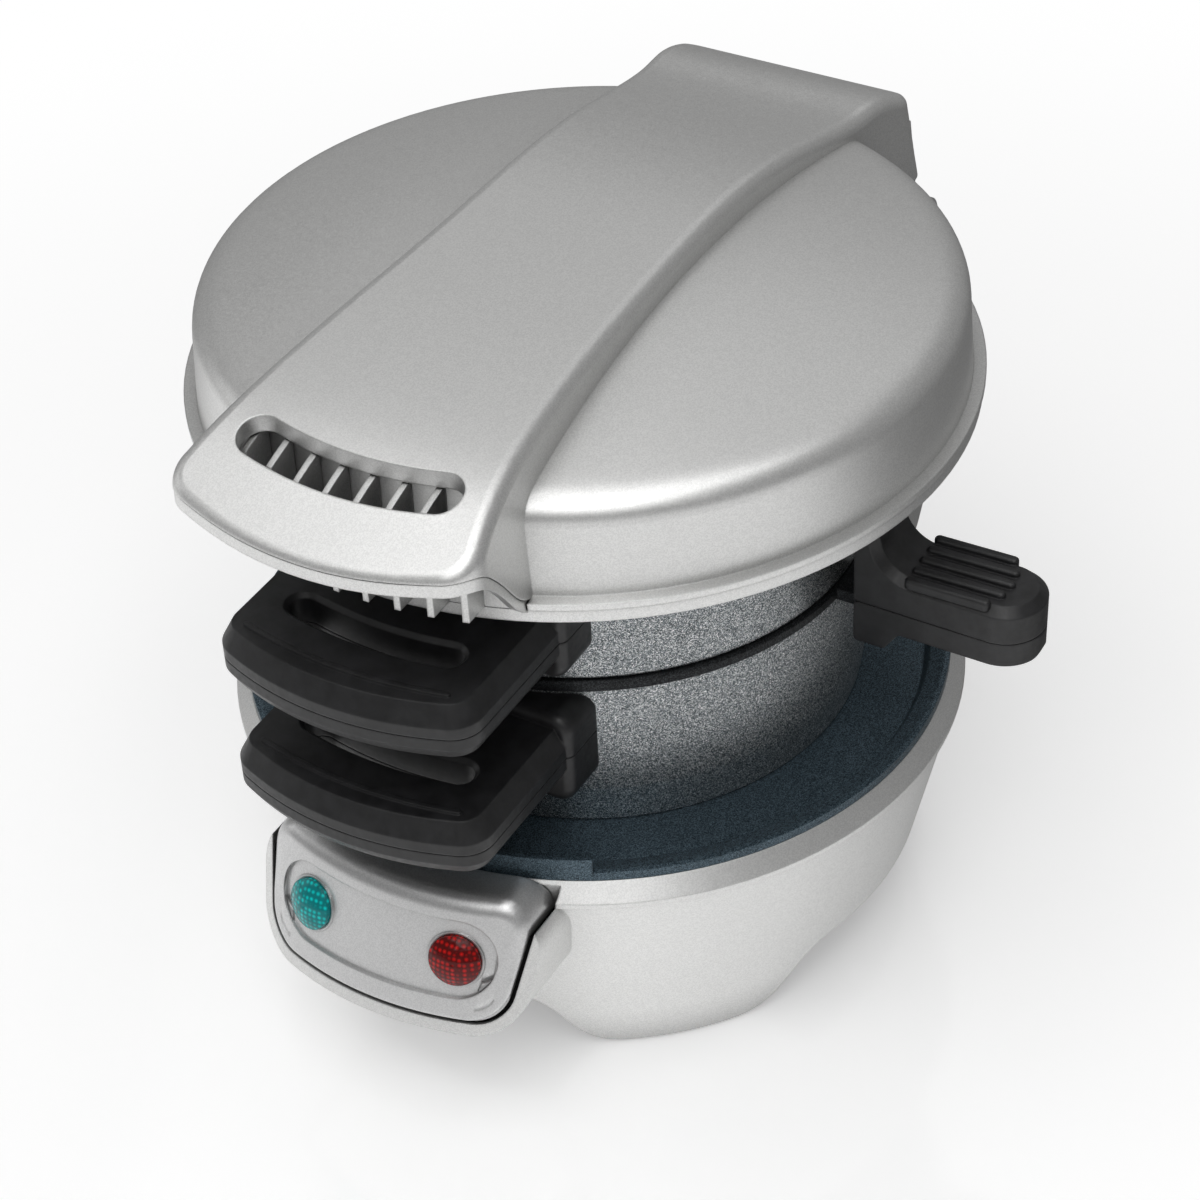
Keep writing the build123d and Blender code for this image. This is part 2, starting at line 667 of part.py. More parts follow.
with BuildPart() as pin_clip:
    with Locations(Location((bracket_ear_outer + seat_gap, hinge_y, hinge_z), (0, 90, 0))):
        Cylinder(pin_head_radius, 0.8, align=(Align.CENTER, Align.CENTER, Align.MIN))
        Cylinder(hinge_pin_radius - 0.5, 5, mode=Mode.SUBTRACT)
        Box(12, 2 * hinge_pin_radius - 1.4, 5, align=(Align.MIN, Align.CENTER, Align.CENTER), mode=Mode.SUBTRACT)
save(pin_clip.part, "pin_clip")

# ---------------------------------------------------------------- terminal block, cord gland and wires
terminal_y = 34.0
terminal_size = (30, 14, 12)
gland_x = 0.0
wire_radius = 0.9

with BuildPart() as terminal_block:
    with Locations((0, terminal_y, cover_top_z)):
        Box(*terminal_size, align=(Align.CENTER, Align.CENTER, Align.MIN))
        with GridLocations(10, 1, 3, 1):
            with Locations((0, 0, terminal_size[2])):
                Box(6, 20, 5, align=(Align.CENTER, Align.CENTER, Align.MAX), mode=Mode.SUBTRACT)
save(terminal_block.part, "terminal_block")

with BuildPart() as cord_gland:
    with Locations(Location((gland_x, bracket_back_y, gland_z), (-90, 0, 0))):
        Cylinder(gland_flange_radius, 2.5, align=(Align.CENTER, Align.CENTER, Align.MIN))
        Cylinder(gland_radius, 14, align=(Align.CENTER, Align.CENTER, Align.CENTER))
        Cylinder(3.2, 60, mode=Mode.SUBTRACT)
save(cord_gland.part, "cord_gland")

tab_z = tray_floor_bottom_z - thermostat_height - 5
block_z = cover_top_z + terminal_size[2] - 5 + wire_radius + seat_gap
pin_x = element_radius * sin(radians((360 - element_sweep) / 2))
pin_y = element_radius * cos(radians((360 - element_sweep) / 2))
with BuildPart() as wiring:
    routes = [
        [(10, 39.5, block_z), (10, 44, block_z + 0.2), (8.5, 60, block_z + 3), (1.6, 84, gland_z)],
        [(-10, 39.5, block_z), (-10, 44, block_z + 0.2), (-8.5, 60, block_z + 3), (-1.6, 84, gland_z)],
        [(-10, 28.5, block_z), (-10, 24, block_z + 0.3), (-14, 19, 33), (-pin_x, pin_y - element_tube_radius - 1.5, 37)],
        [(0, 28.5, block_z), (0, 24, block_z + 0.3), (-5, 12, 32), (-5.6, 0, tab_z)],
    ]
    for route in routes:
        with BuildLine() as lead:
            Spline(*route)
        with BuildSketch(Plane(lead.line @ 0, z_dir=lead.line % 0)):
            Circle(wire_radius)
        sweep(path=lead.line)
save(wiring.part, "base_wiring")

with BuildPart() as base_screws:
    with PolarLocations(boss_ring_radius, 4):
        add(screw(12, cover_bottom_z, head_up=False))
    with Locations((-bracket_screw_x, bracket_screw_y, 0), (bracket_screw_x, bracket_screw_y, 0)):
        add(screw(14, rim_top_z + bracket_foot_height))
    with PolarLocations(shield_boss_ring, 3, 90):
        add(screw(5, shield_top_z - shield_thickness, head_up=False))
    with Locations((-ear_screw_x, 0, 0), (ear_screw_x, 0, 0)):
        add(screw(2.6, tray_floor_bottom_z - 1, head_up=False))
save(base_screws.part, "base_screws")

# ================================================================ the two rings
def ring(foot_z, top_z, inset):
    """Plain ring whose outside narrows by inset towards its foot."""
    with BuildPart() as part:
        with BuildSketch(Plane.XZ):
            with BuildLine():
                Polyline(
                    (ring_bore_radius, foot_z),
                    (ring_outer_radius - inset, foot_z),
                    (ring_outer_radius, foot_z + ring_foot_taper_height),
                    (ring_outer_radius, top_z),
                    (ring_bore_radius, top_z),
                    close=True,
                )
            make_face()
        revolve(axis=Axis.Z)
    return part.part


tang_reach = ring_outer_radius + 0.339 * front_handle_length
tang_screw_x = 12.0
tang_screw_y = -(ring_outer_radius + 0.221 * front_handle_length)


def tang(split_z):
    """Flat lug that the two halves of a front handle clamp."""
    with BuildPart() as lug:
        with Locations((0, -tang_reach, split_z)):
            Box(2 * tang_half_width, tang_reach - ring_bore_radius + 8, tang_thickness, align=(Align.CENTER, Align.MIN, Align.CENTER))
        Cylinder(ring_bore_radius + 1, 300, mode=Mode.SUBTRACT)
        with Locations((-tang_screw_x, tang_screw_y, split_z), (tang_screw_x, tang_screw_y, split_z)):
            Cylinder(screw_radius + 0.3, 20, mode=Mode.SUBTRACT)
    return lug.part


def arm(inner_x, outer_x, points):
    """Hinge arm between two X stations: an outline of (y, z) points joined to the knuckle."""
    with BuildPart() as lever:
        with BuildSketch(Plane.YZ.offset(inner_x)):
            with BuildLine():
                Polyline(*points, close=True)
            make_face()
            with Locations((hinge_y, hinge_z)):
                Circle(knuckle_radius)
        extrude(amount=outer_x - inner_x)
        Cylinder(ring_bore_radius + 1, 300, mode=Mode.SUBTRACT)
        with Locations(Location((inner_x, hinge_y, hinge_z), (0, 90, 0))):
            Cylinder(hinge_pin_radius + running_fit, 200, mode=Mode.SUBTRACT)
    return lever.part


rear_face_y = plate_radius + 1.6        # the tongue stays behind the plate's edge
with BuildPart() as bottom_ring:
    add(ring(lower_ring_foot_z, lower_ring_top_z, ring_foot_inset))
    add(tang(lower_handle_split_z))
    tongue = [
        (50, lower_ring_top_z - 0.6),
        (50, lower_ring_top_z - 20),
        (rear_face_y + 5, lower_ring_top_z - 16),
        (hinge_y + knuckle_radius * cos(radians(-32)), hinge_z + knuckle_radius * sin(radians(-32))),
        (hinge_y - knuckle_radius * cos(radians(32)), hinge_z + knuckle_radius * sin(radians(32))),
        (rear_face_y, lower_ring_top_z + 12),
        (rear_face_y, lower_ring_top_z - 0.6),
    ]
    add(arm(-tongue_half_width, tongue_half_width, tongue))
save(bottom_ring.part, "bottom_ring")

lug_thickness = 7.0
with BuildPart() as top_ring:
    add(ring(upper_ring_foot_z, upper_ring_top_z, 0.01))
    add(tang(upper_handle_split_z))
    upper_arm = [
        (48, upper_ring_top_z - 0.4),
        (48, upper_ring_foot_z + 9),
        (rear_face_y, upper_ring_foot_z + 9),
        (hinge_y + knuckle_radius * cos(radians(-60)), hinge_z + knuckle_radius * sin(radians(-60))),
        (hinge_y - knuckle_radius * cos(radians(27)), upper_ring_top_z - 0.4),
    ]
    add(arm(upper_arm_inner, upper_arm_outer, upper_arm))
    add(arm(-upper_arm_outer, -upper_arm_inner, upper_arm))
    # lug that carries the plate's pivot
    with BuildSketch(Plane.XY.offset(upper_ring_foot_z)):
        with Locations(Location((pivot_x, pivot_y), pivot_angle)):
            Circle(pivot_boss_radius)
            Rectangle(pivot_radius - ring_bore_radius - 1, 2 * pivot_boss_radius, align=(Align.MAX, Align.CENTER))
    extrude(amount=lug_thickness)
    Cylinder(ring_bore_radius, 300, mode=Mode.SUBTRACT)
    with Locations((pivot_x, pivot_y, upper_ring_foot_z)):
        Cylinder(pivot_pin_radius + seat_gap, 40, mode=Mode.SUBTRACT)
save(top_ring.part, "top_ring")

with BuildPart() as plate_pivot:
    with Locations((pivot_x, pivot_y, plate_bottom_z - 0.1)):
        Cylinder(3.6, 1.8, align=(Align.CENTER, Align.CENTER, Align.MAX))
        Cylinder(pivot_pin_radius, plate_thickness + lug_thickness + 2, align=(Align.CENTER, Align.CENTER, Align.MIN))
    with Locations((pivot_x, pivot_y, upper_ring_foot_z + lug_thickness)):
        Cylinder(3.6, 1.4, align=(Align.CENTER, Align.CENTER, Align.MIN))
save(plate_pivot.part, "plate_pivot_pin")


# ---------------------------------------------------------------- front handles of the two rings
def ring_sector(radius, width, half_angle):
    """Curved slot about the Z axis at the front, its ends rounded."""
    with BuildSketch(Plane.XY) as sector:
        SlotArc(CenterArc((0, 0), radius, -90 - half_angle, 2 * half_angle), width)
    return sector.sketch


def front_handle_outline():
    """Plan of a front handle: parallel sides and a bowed front."""
    sagitta = front_handle_arc - sqrt(front_handle_arc**2 - front_handle_half_width**2)
    with BuildSketch(Plane.XY) as outline:
        with BuildLine():
            front = ThreePointArc(
                (-front_handle_half_width, -front_handle_reach + sagitta),
                (0, -front_handle_reach),
                (front_handle_half_width, -front_handle_reach + sagitta),
            )
            Polyline(front @ 1, (front_handle_half_width, -45), (-front_handle_half_width, -45), front @ 0)
        make_face()
        fillet(outline.vertices().group_by(Axis.Y)[0:2], front_handle_corner)
    return outline.sketch


handle_root_half_width = 28.4
handle_screw_seat = -tang_thickness / 2 - 1.4
handle_band = 2.4           # upright edge below the bevel
handle_slot_bevel = 0.9
ridge_height = 0.5


def front_handle(split_z, root_bottom_z, root_top_z, upper):
    """Upper or lower half of a ring's front handle."""
    outline = front_handle_outline()
    sign = 1 if upper else -1
    height = front_handle_top if upper else front_handle_bottom
    face_z = split_z + sign * (seam_gap / 2)
    root_z = root_top_z if upper else root_bottom_z
    bevel = front_handle_bevel if upper else 1.2
    with BuildPart() as half:
        add(outline.moved(Location((0, 0, face_z))))
        extrude(amount=handle_band, dir=(0, 0, sign))
        add(outline.moved(Location((0, 0, face_z + sign * handle_band))))
        rest = height - handle_band - seam_gap / 2
        extrude(amount=rest, dir=(0, 0, sign), taper=degrees(atan(bevel / rest)))
        # block at the root, hugging the ring
        with Locations((0, handle_root_y, (face_z + root_z) / 2)):
            with BuildPart(mode=Mode.PRIVATE) as root:
                Box(2 * handle_root_half_width, 30, abs(root_z - face_z), align=(Align.CENTER, Align.MIN, Align.CENTER))
                edge = root.faces().sort_by(Axis.Z)[-1 if upper else 0].edges().filter_by(Axis.Y)
                fillet(edge, handle_root_round)
                fillet(root.faces().sort_by(Axis.Y)[0].edges().sort_by(Axis.Z)[-1 if upper else 0], 2.0)
            add(root.part)
        Cylinder(ring_outer_radius + seat_gap, 400, mode=Mode.SUBTRACT)
        # slot through the grip, with a bevelled mouth, and a thin ridge along the front
        slot = ring_sector(handle_slot_radius, handle_slot_width, handle_slot_half_angle)
        add(slot.moved(Location((0, 0, split_z - 20))))
        extrude(amount=40, dir=(0, 0, 1), mode=Mode.SUBTRACT)
        if upper:
            top_z = split_z + height
            mouth = ring_sector(handle_slot_radius, handle_slot_width + 2 * handle_slot_bevel, handle_slot_half_angle)
            add(mouth.moved(Location((0, 0, top_z))))
            extrude(amount=handle_slot_bevel, dir=(0, 0, -1), taper=45, mode=Mode.SUBTRACT)
            ridge = ring_sector(handle_ridge_radius, 1.1, handle_ridge_half_angle)
            add(ridge.moved(Location((0, 0, top_z - 1))))
            extrude(amount=1 + ridge_height, dir=(0, 0, 1))
        # pocket for the ring's lug, screws from below
        with Locations((0, -tang_reach - seat_gap, split_z)):
            Box(
                2 * (tang_half_width + seat_gap),
                60,
                tang_thickness + 2 * seat_gap,
                align=(Align.CENTER, Align.MIN, Align.CENTER),
                mode=Mode.SUBTRACT,
            )
        with Locations((-tang_screw_x, tang_screw_y, 0), (tang_screw_x, tang_screw_y, 0)):
            if upper:
                with Locations((0, 0, split_z)):
                    Cylinder(screw_radius, 4.6, align=(Align.CENTER, Align.CENTER, Align.MIN), mode=Mode.SUBTRACT)
            else:
                with Locations((0, 0, split_z)):
                    Cylinder(screw_radius + 0.3, 60, mode=Mode.SUBTRACT)
                with Locations((0, 0, handle_screw_seat + split_z)):
                    Cylinder(
                        screw_head_radius + 0.3,
                        60,
                        align=(Align.CENTER, Align.CENTER, Align.MAX),
                        mode=Mode.SUBTRACT,
                    )
    return half.part


for name, split_z, bottom_z, top_z in (
    ("lower_handle", lower_handle_split_z, lower_root_bottom_z, lower_root_top_z),
    ("upper_handle", upper_handle_split_z, upper_root_bottom_z, upper_root_top_z),
):
    save(front_handle(split_z, bottom_z, top_z, True), name + "_top")
    save(front_handle(split_z, bottom_z, top_z, False), name + "_bottom")
    with BuildPart() as handle_screws:
        with Locations((-tang_screw_x, tang_screw_y, 0), (tang_screw_x, tang_screw_y, 0)):
            add(screw(7.2, split_z + handle_screw_seat, head_up=False))
    save(handle_screws.part, name + "_screws")

# ================================================================ cooking plate and its side handle
side_tang_half_width = 4.5
side_tang_end = side_root_x + 17
side_tang_top_z = side_split_z - seam_gap / 2 - 0.05
side_screw_x = side_root_x + 12
side_centre = Location((0, side_handle_y, 0), (0, 0, side_handle_turn))

with BuildPart() as cooking_plate:
    with Locations((0, 0, plate_bottom_z)):
        Cylinder(plate_radius, plate_thickness, align=(Align.CENTER, Align.CENTER, Align.MIN))
    chamfer(cooking_plate.edges(), 0.4)
    with BuildSketch(Plane.XY.offset(plate_bottom_z)):
        with Locations(Location((pivot_x, pivot_y), pivot_angle)):
            Circle(pivot_boss_radius)
            Rectangle(pivot_radius - ring_bore_radius, 2 * pivot_boss_radius, align=(Align.MAX, Align.CENTER))
    extrude(amount=plate_thickness)
    with Locations((pivot_x, pivot_y, plate_bottom_z)):
        Cylinder(pivot_pin_radius + running_fit, 40, mode=Mode.SUBTRACT)
    with Locations(side_centre):
        with Locations((side_tang_end, 0, plate_bottom_z)):
            Box(
                side_tang_end - ring_bore_radius,
                2 * side_tang_half_width,
                plate_thickness,
                align=(Align.MAX, Align.CENTER, Align.MIN),
            )
        with Locations((side_screw_x, 0, plate_bottom_z)):
            Cylinder(screw_radius + 0.3, 20, mode=Mode.SUBTRACT)
save(cooking_plate.part, "cooking_plate")

side_grip_x = side_root_x + side_root_length
side_top_z = side_split_z + side_handle_top
side_bottom_z = side_split_z - side_handle_bottom


def side_handle(upper):
    """Upper or lower half of the cooking plate's handle, along +X."""
    if upper:
        outline = [
            (side_root_x, side_split_z + seam_gap / 2),
            (side_end_x, side_split_z + seam_gap / 2),
            (side_end_x, side_top_z),
            (side_grip_x, side_top_z),
            (side_root_x + 3.0, side_root_top_z),
            (side_root_x, side_root_top_z),
        ]
    else:
        outline = [
            (side_root_x, side_split_z - seam_gap / 2),
            (side_end_x, side_split_z - seam_gap / 2),
            (side_end_x, side_bottom_z),
            (side_grip_x + 3, side_bottom_z),
            (side_grip_x, side_root_bottom_z),
            (side_root_x, side_root_bottom_z),
        ]
    with BuildPart() as half:
        with BuildSketch(Plane.XZ) as profile:
            with BuildLine():
                Polyline(*outline, close=True)
            make_face()
            if upper:
                inner_corner = profile.vertices().filter_by(lambda v: abs(v.X - side_grip_x) < 0.1)
                fillet(inner_corner, side_fillet)
            else:
                fillet(profile.vertices().filter_by(lambda v: v.Z < side_bottom_z - 0.1), 1.0)
        extrude(amount=20, both=True)
        with BuildSketch(Plane.XY) as plan:
            with BuildLine():
                Polyline(
                    (side_root_x, -side_root_half_width),
                    (side_end_x, -side_end_half_width),
                    (side_end_x, side_end_half_width),
                    (side_root_x, side_root_half_width),
                    close=True,
                )
            make_face()
            fillet(plan.vertices().group_by(Axis.X)[-1], side_end_half_width - 0.3)
        extrude(amount=200, mode=Mode.INTERSECT)
        if upper:
            grip_face = half.faces().filter_by(lambda f: abs(f.center().Z - side_top_z) < 0.1)
            chamfer(grip_face.edges().filter_by(lambda e: e.center().X > side_grip_x + side_fillet), side_bevel)
        Cylinder(plate_radius + 0.5, 400, mode=Mode.SUBTRACT)
        if upper:
            for k in range(grip_rib_count):
                place = k - (grip_rib_count - 1) / 2
                length = grip_rib_length - grip_rib_step * place**2
                middle = (side_root_x + grip_rib_start + length / 2, place * grip_rib_pitch)
                with BuildPart(mode=Mode.PRIVATE) as rib:
                    with BuildSketch(Plane.XY.offset(side_top_z - 1)):
                        with Locations(middle):
                            SlotOverall(length, grip_rib_width)
                    extrude(amount=1 + grip_rib_height)
                    fillet(rib.faces().sort_by(Axis.Z)[-1].edges(), grip_rib_round)
                add(rib.part)
            with Locations((side_screw_x, 0, side_split_z)):
                Cylinder(screw_radius, 5, align=(Align.CENTER, Align.CENTER, Align.MIN), mode=Mode.SUBTRACT)
        else:
            with Locations((side_tang_end + seat_gap, 0, plate_bottom_z - seat_gap)):
                Box(
                    60,
                    2 * (side_tang_half_width + seat_gap),
                    30,
                    align=(Align.MAX, Align.CENTER, Align.MIN),
                    mode=Mode.SUBTRACT,
                )
            with Locations((side_screw_x, 0, plate_bottom_z)):
                Cylinder(screw_radius + 0.3, 30, mode=Mode.SUBTRACT)
            with Locations((side_screw_x, 0, plate_bottom_z - 1.0)):
                Cylinder(screw_head_radius + 0.3, 20, align=(Align.CENTER, Align.CENTER, Align.MAX), mode=Mode.SUBTRACT)
    return half.part.moved(side_centre)


save(side_handle(True), "plate_handle_top")
save(side_handle(False), "plate_handle_bottom")
with BuildPart() as plate_handle_screw:
    with Locations(side_centre):
        with Locations((side_screw_x, 0, 0)):
            add(screw(7.4, plate_bottom_z - 1.0, head_up=False))
save(plate_handle_screw.part, "plate_handle_screw")


# ================================================================ lid
def dome(inset):
    """Solid of revolution inside the lid's domed skin, moved in by inset."""
    shoulder_slope = -2 * (lid_apex_z - lid_shoulder_z) / lid_shoulder_radius
    with BuildPart() as solid:
        with BuildSketch(Plane.XZ):
            with BuildLine():
                wall_foot = (lid_wall_foot_radius - inset, flange_top_z - inset)
                wall_top = (lid_wall_top_radius - inset, lid_wall_top_z - inset)
                shoulder = (lid_shoulder_radius - inset, lid_shoulder_z - inset)
                lean = (lid_wall_top_radius - lid_wall_foot_radius, lid_wall_top_z - flange_top_z)
                Line((0, lid_underside_z), (wall_foot[0], lid_underside_z))
                Line((wall_foot[0], lid_underside_z), wall_foot)
                Line(wall_foot, wall_top)
                Spline(wall_top, shoulder, tangents=(lean, (-1, -shoulder_slope)))
                crown = (0, lid_apex_z - inset)
                middle = (shoulder[0] / 2, crown[1] - (crown[1] - shoulder[1]) / 4)
                Spline(shoulder, middle, crown, tangents=((-1, -shoulder_slope), (-1, 0)))
                Line(crown, (0, lid_underside_z))
            make_face()
        revolve(axis=Axis.Z)
    return solid.part


def strap_outline(inset, flare, z):
    """Plan of the strap over the lid: narrow over the dome, widening into the handle and the hinge."""
    tip_x = strap_tip + flare - inset
    neck_x = strap_neck + flare - inset
    lean_back = strap_rear_flare if flare else 0
    rear_x = strap_rear + lean_back - inset
    rear_y = strap_rear_y + lean_back - inset
    with BuildSketch(Plane.XY.offset(z)) as outline:
        with BuildLine():
            for side in (1, -1):
                flank = ThreePointArc(
                    (side * rear_x, rear_y),
                    (side * (strap_waist + flare - inset), strap_waist_y),
                    (side * neck_x, strap_neck_y),
                )
                TangentArc(flank @ 1, (side * tip_x, strap_tip_y), tangent=flank % 1)
            ThreePointArc((-tip_x, strap_tip_y), (0, handle_front_y + inset), (tip_x, strap_tip_y))
            Line((-rear_x, rear_y), (rear_x, rear_y))
        make_face()
    return outline.sketch


# the strap's crest from the handle's front to the rear, (y, z)
strap_crest = [(-100, 141.6), (-80, 150.6), (-55, 155.1), (-10, 156.5), (40, 154.3), (70, 148.4), (98, 138.5)]


def strap_top(inset):
    """Outline in the YZ plane of everything below the strap's upper surface."""
    with BuildSketch(Plane.YZ.offset(-60)) as side:
        with BuildLine():
            crest = Spline(
                [(y, z - inset) for y, z in strap_crest],
                tangents=((1, 0.42), (1, -0.62)),
            )
            Polyline(crest @ 1, (strap_crest[-1][0], 90), (strap_crest[0][0], 90), crest @ 0)
        make_face()
    return side.sketch


def strap(inset, top_inset):
    """The strap as a solid, moved in by inset at its sides and top_inset at its top."""
    with BuildPart() as solid:
        add(strap_outline(inset, 0, strap_high_z))
        add(strap_outline(inset, strap_flare, strap_low_z))
        loft(ruled=True)
        with BuildPart(mode=Mode.PRIVATE) as below:
            add(strap_top(top_inset))
            extrude(amount=120, dir=(1, 0, 0))
        add(below.part, mode=Mode.INTERSECT)
    return solid.part


def rounded_strap(inset, top_inset):
    """The strap as a solid with its upright corners rounded."""
    with BuildPart() as solid:
        add(strap(inset, top_inset))
        for front, radius in ((True, handle_corner_radius), (False, hood_corner_radius)):
            upright = solid.edges().filter_by(lambda e: abs((e @ 0).Z - (e @ 1).Z) > 20)
            corners = upright.filter_by(lambda e: abs((e @ 0.5).Y) > 70 and ((e @ 0.5).Y < 0) == front)
            fillet(corners, radius - inset)
    return solid.part


# lower edge of the cover under the handle, falling in an S to the flange, (y, z)
cover_edge = [(-102, 140.2), (-97, 142.1), (-91.5, 144), (-87.5, 143.7), (-83, 140.2), (-78, 134.2), (-72.8, 127.8)]


def below_handle_edge(drop):
    """Everything in front of and below the handle's S-shaped edge, the edge lowered by drop."""
    with BuildPart() as solid:
        with BuildSketch(Plane.YZ.offset(-60)):
            with BuildLine():
                points = cover_edge + [(-63, cover_seam_z)]
                edge = Spline([(y, z - drop) for y, z in points], tangents=((1, 0.5), (1, 0)))
                Polyline(edge @ 1, (-63, 90), (-102, 90), edge @ 0)
            make_face()
        extrude(amount=120)
    return solid.part


def tube(outer, inner, foot_z, top_z):
    """Plain tube about the Z axis."""
    with BuildPart() as pipe:
        with Locations((0, 0, foot_z)):
            Cylinder(outer, top_z - foot_z, align=(Align.CENTER, Align.CENTER, Align.MIN))
            if inner:
                Cylinder(inner, top_z - foot_z, align=(Align.CENTER, Align.CENTER, Align.MIN), mode=Mode.SUBTRACT)
    return pipe.part


rear_lip_z = 133.0
ear_notch_z = hinge_z + bracket_ear_radius + 1.4
collar_wall = 1.6
collar_drop = 3.5           # from the strap's top to the foot of the wall round the slot
boss_foot_z = cover_seam_z + 2.4
lobe_inner = bracket_ear_inner - 1.0 - 2.5
lobe_outer = bracket_ear_inner - 1.0
lid_boss_ring = 62.0
lid_boss_angle = 32.0
heater_flange_radius = 56.0
with BuildPart() as crest_solid:
    add(rounded_strap(0, 0))
    fillet(crest_solid.faces().sort_by(Axis.Z)[-1].edges(), strap_edge_round)
outer_strap = crest_solid.part
inner_strap = rounded_strap(strap_skin, strap_skin)
wall_inner_radius = lid_wall_top_radius - lid_shell

with BuildPart() as lid_cover:
    add(dome(0))
    add(tube(flange_radius, 0, cover_seam_z, flange_top_z))
    # strap, handle and hood, standing on the dome
    with BuildPart(mode=Mode.PRIVATE) as crest:
        add(outer_strap)
        add(below_handle_edge(0), mode=Mode.SUBTRACT)
    add(crest.part)
    add(tube(200, 0, 50, cover_seam_z), mode=Mode.SUBTRACT)
    # the flange gives way to the handle's S-shaped edge
    with BuildPart(mode=Mode.PRIVATE) as notch:
        add(below_handle_edge(0))
        add(outer_strap, mode=Mode.INTERSECT)
        add(tube(lid_wall_foot_radius, 0, 50, 200), mode=Mode.SUBTRACT)
    add(notch.part, mode=Mode.SUBTRACT)
    # hollow: dome, strap over the dome, and what overhangs the dome's wall
    add(dome(lid_shell), mode=Mode.SUBTRACT)
    with BuildPart(mode=Mode.PRIVATE) as over_dome:
        add(inner_strap)
        add(tube(wall_inner_radius, 0, 50, 200), mode=Mode.INTERSECT)
    add(over_dome.part, mode=Mode.SUBTRACT)
    with BuildPart(mode=Mode.PRIVATE) as overhang:
        add(inner_strap)
        add(tube(lid_wall_foot_radius, 0, 50, 200), mode=Mode.SUBTRACT)
    add(overhang.part, mode=Mode.SUBTRACT)
    # the hood is open at the back under a lip, so that the ring arms can pass
    with Locations((0, hinge_y, rear_lip_z)):
        Box(2 * lobe_inner, 30, 60, align=(Align.CENTER, Align.MIN, Align.MAX), mode=Mode.SUBTRACT)
    with Locations((0, lid_wall_foot_radius - 1.2, lid_underside_z)):
        Box(2 * lobe_inner, 30, rear_lip_z - lid_underside_z, align=(Align.CENTER, Align.MIN, Align.MIN), mode=Mode.SUBTRACT)
    # the hood's sides stop above the bracket's ears
    with BuildPart(mode=Mode.PRIVATE) as ears:
        with Locations((0, lid_wall_foot_radius, cover_seam_z)):
            Box(100, 30, ear_notch_z - cover_seam_z, align=(Align.CENTER, Align.MIN, Align.MIN))
            Box(2 * (bracket_ear_inner - moving_gap), 60, 60, mode=Mode.SUBTRACT)
        add(tube(flange_radius, 0, 50, 200), mode=Mode.SUBTRACT)
    add(ears.part, mode=Mode.SUBTRACT)
    # lobes on the hood's side walls turn on the hinge pin
    with BuildPart(mode=Mode.PRIVATE) as lobes:
        for inner_x in (-lobe_outer, lobe_inner):
            with BuildSketch(Plane.YZ.offset(inner_x)):
                with Locations((hinge_y, hinge_z)):
                    Circle(knuckle_radius)
                    Rectangle(2 * knuckle_radius, rear_lip_z + 5 - hinge_z, align=(Align.CENTER, Align.MIN))
                with Locations((hinge_y, cover_seam_z)):
                    Rectangle(14, rear_lip_z - cover_seam_z, align=(Align.MAX, Align.MIN))
            extrude(amount=lobe_outer - lobe_inner)
        add(strap(0.5, 1), mode=Mode.INTERSECT)
    add(lobes.part)
    # slot in the handle with a collar under it
    with BuildPart(mode=Mode.PRIVATE) as collar:
        wide = ring_sector(lid_slot_radius, lid_slot_width + 2 * collar_wall, lid_slot_half_angle)
        add(wide.moved(Location((0, 0, cover_seam_z))))
        extrude(amount=40, dir=(0, 0, 1))
        add(inner_strap, mode=Mode.INTERSECT)
        add(strap(-1, collar_drop), mode=Mode.SUBTRACT)
    add(collar.part)
    slot = ring_sector(lid_slot_radius, lid_slot_width, lid_slot_half_angle)
    add(slot.moved(Location((0, 0, cover_seam_z))))
    extrude(amount=60, dir=(0, 0, 1), mode=Mode.SUBTRACT)
    # bosses for the screws that hold the lower cover
    with BuildPart(mode=Mode.PRIVATE) as bosses:
        for angle in (lid_boss_angle, 180 - lid_boss_angle, 180 + lid_boss_angle, -lid_boss_angle):
            with Locations(Location((lid_boss_ring * cos(radians(angle)), lid_boss_ring * sin(radians(angle)), boss_foot_z))):
                Cylinder(boss_radius, 40, align=(Align.CENTER, Align.CENTER, Align.MIN))
                Cylinder(screw_radius, 14, align=(Align.CENTER, Align.CENTER, Align.MIN), mode=Mode.SUBTRACT)
        add(dome(lid_shell - 0.5), mode=Mode.INTERSECT)
    add(bosses.part)
    with Locations(Location((0, hinge_y, hinge_z), (0, 90, 0))):
        Cylinder(hinge_pin_radius + running_fit, 200, mode=Mode.SUBTRACT)
save(lid_cover.part, "lid_cover")

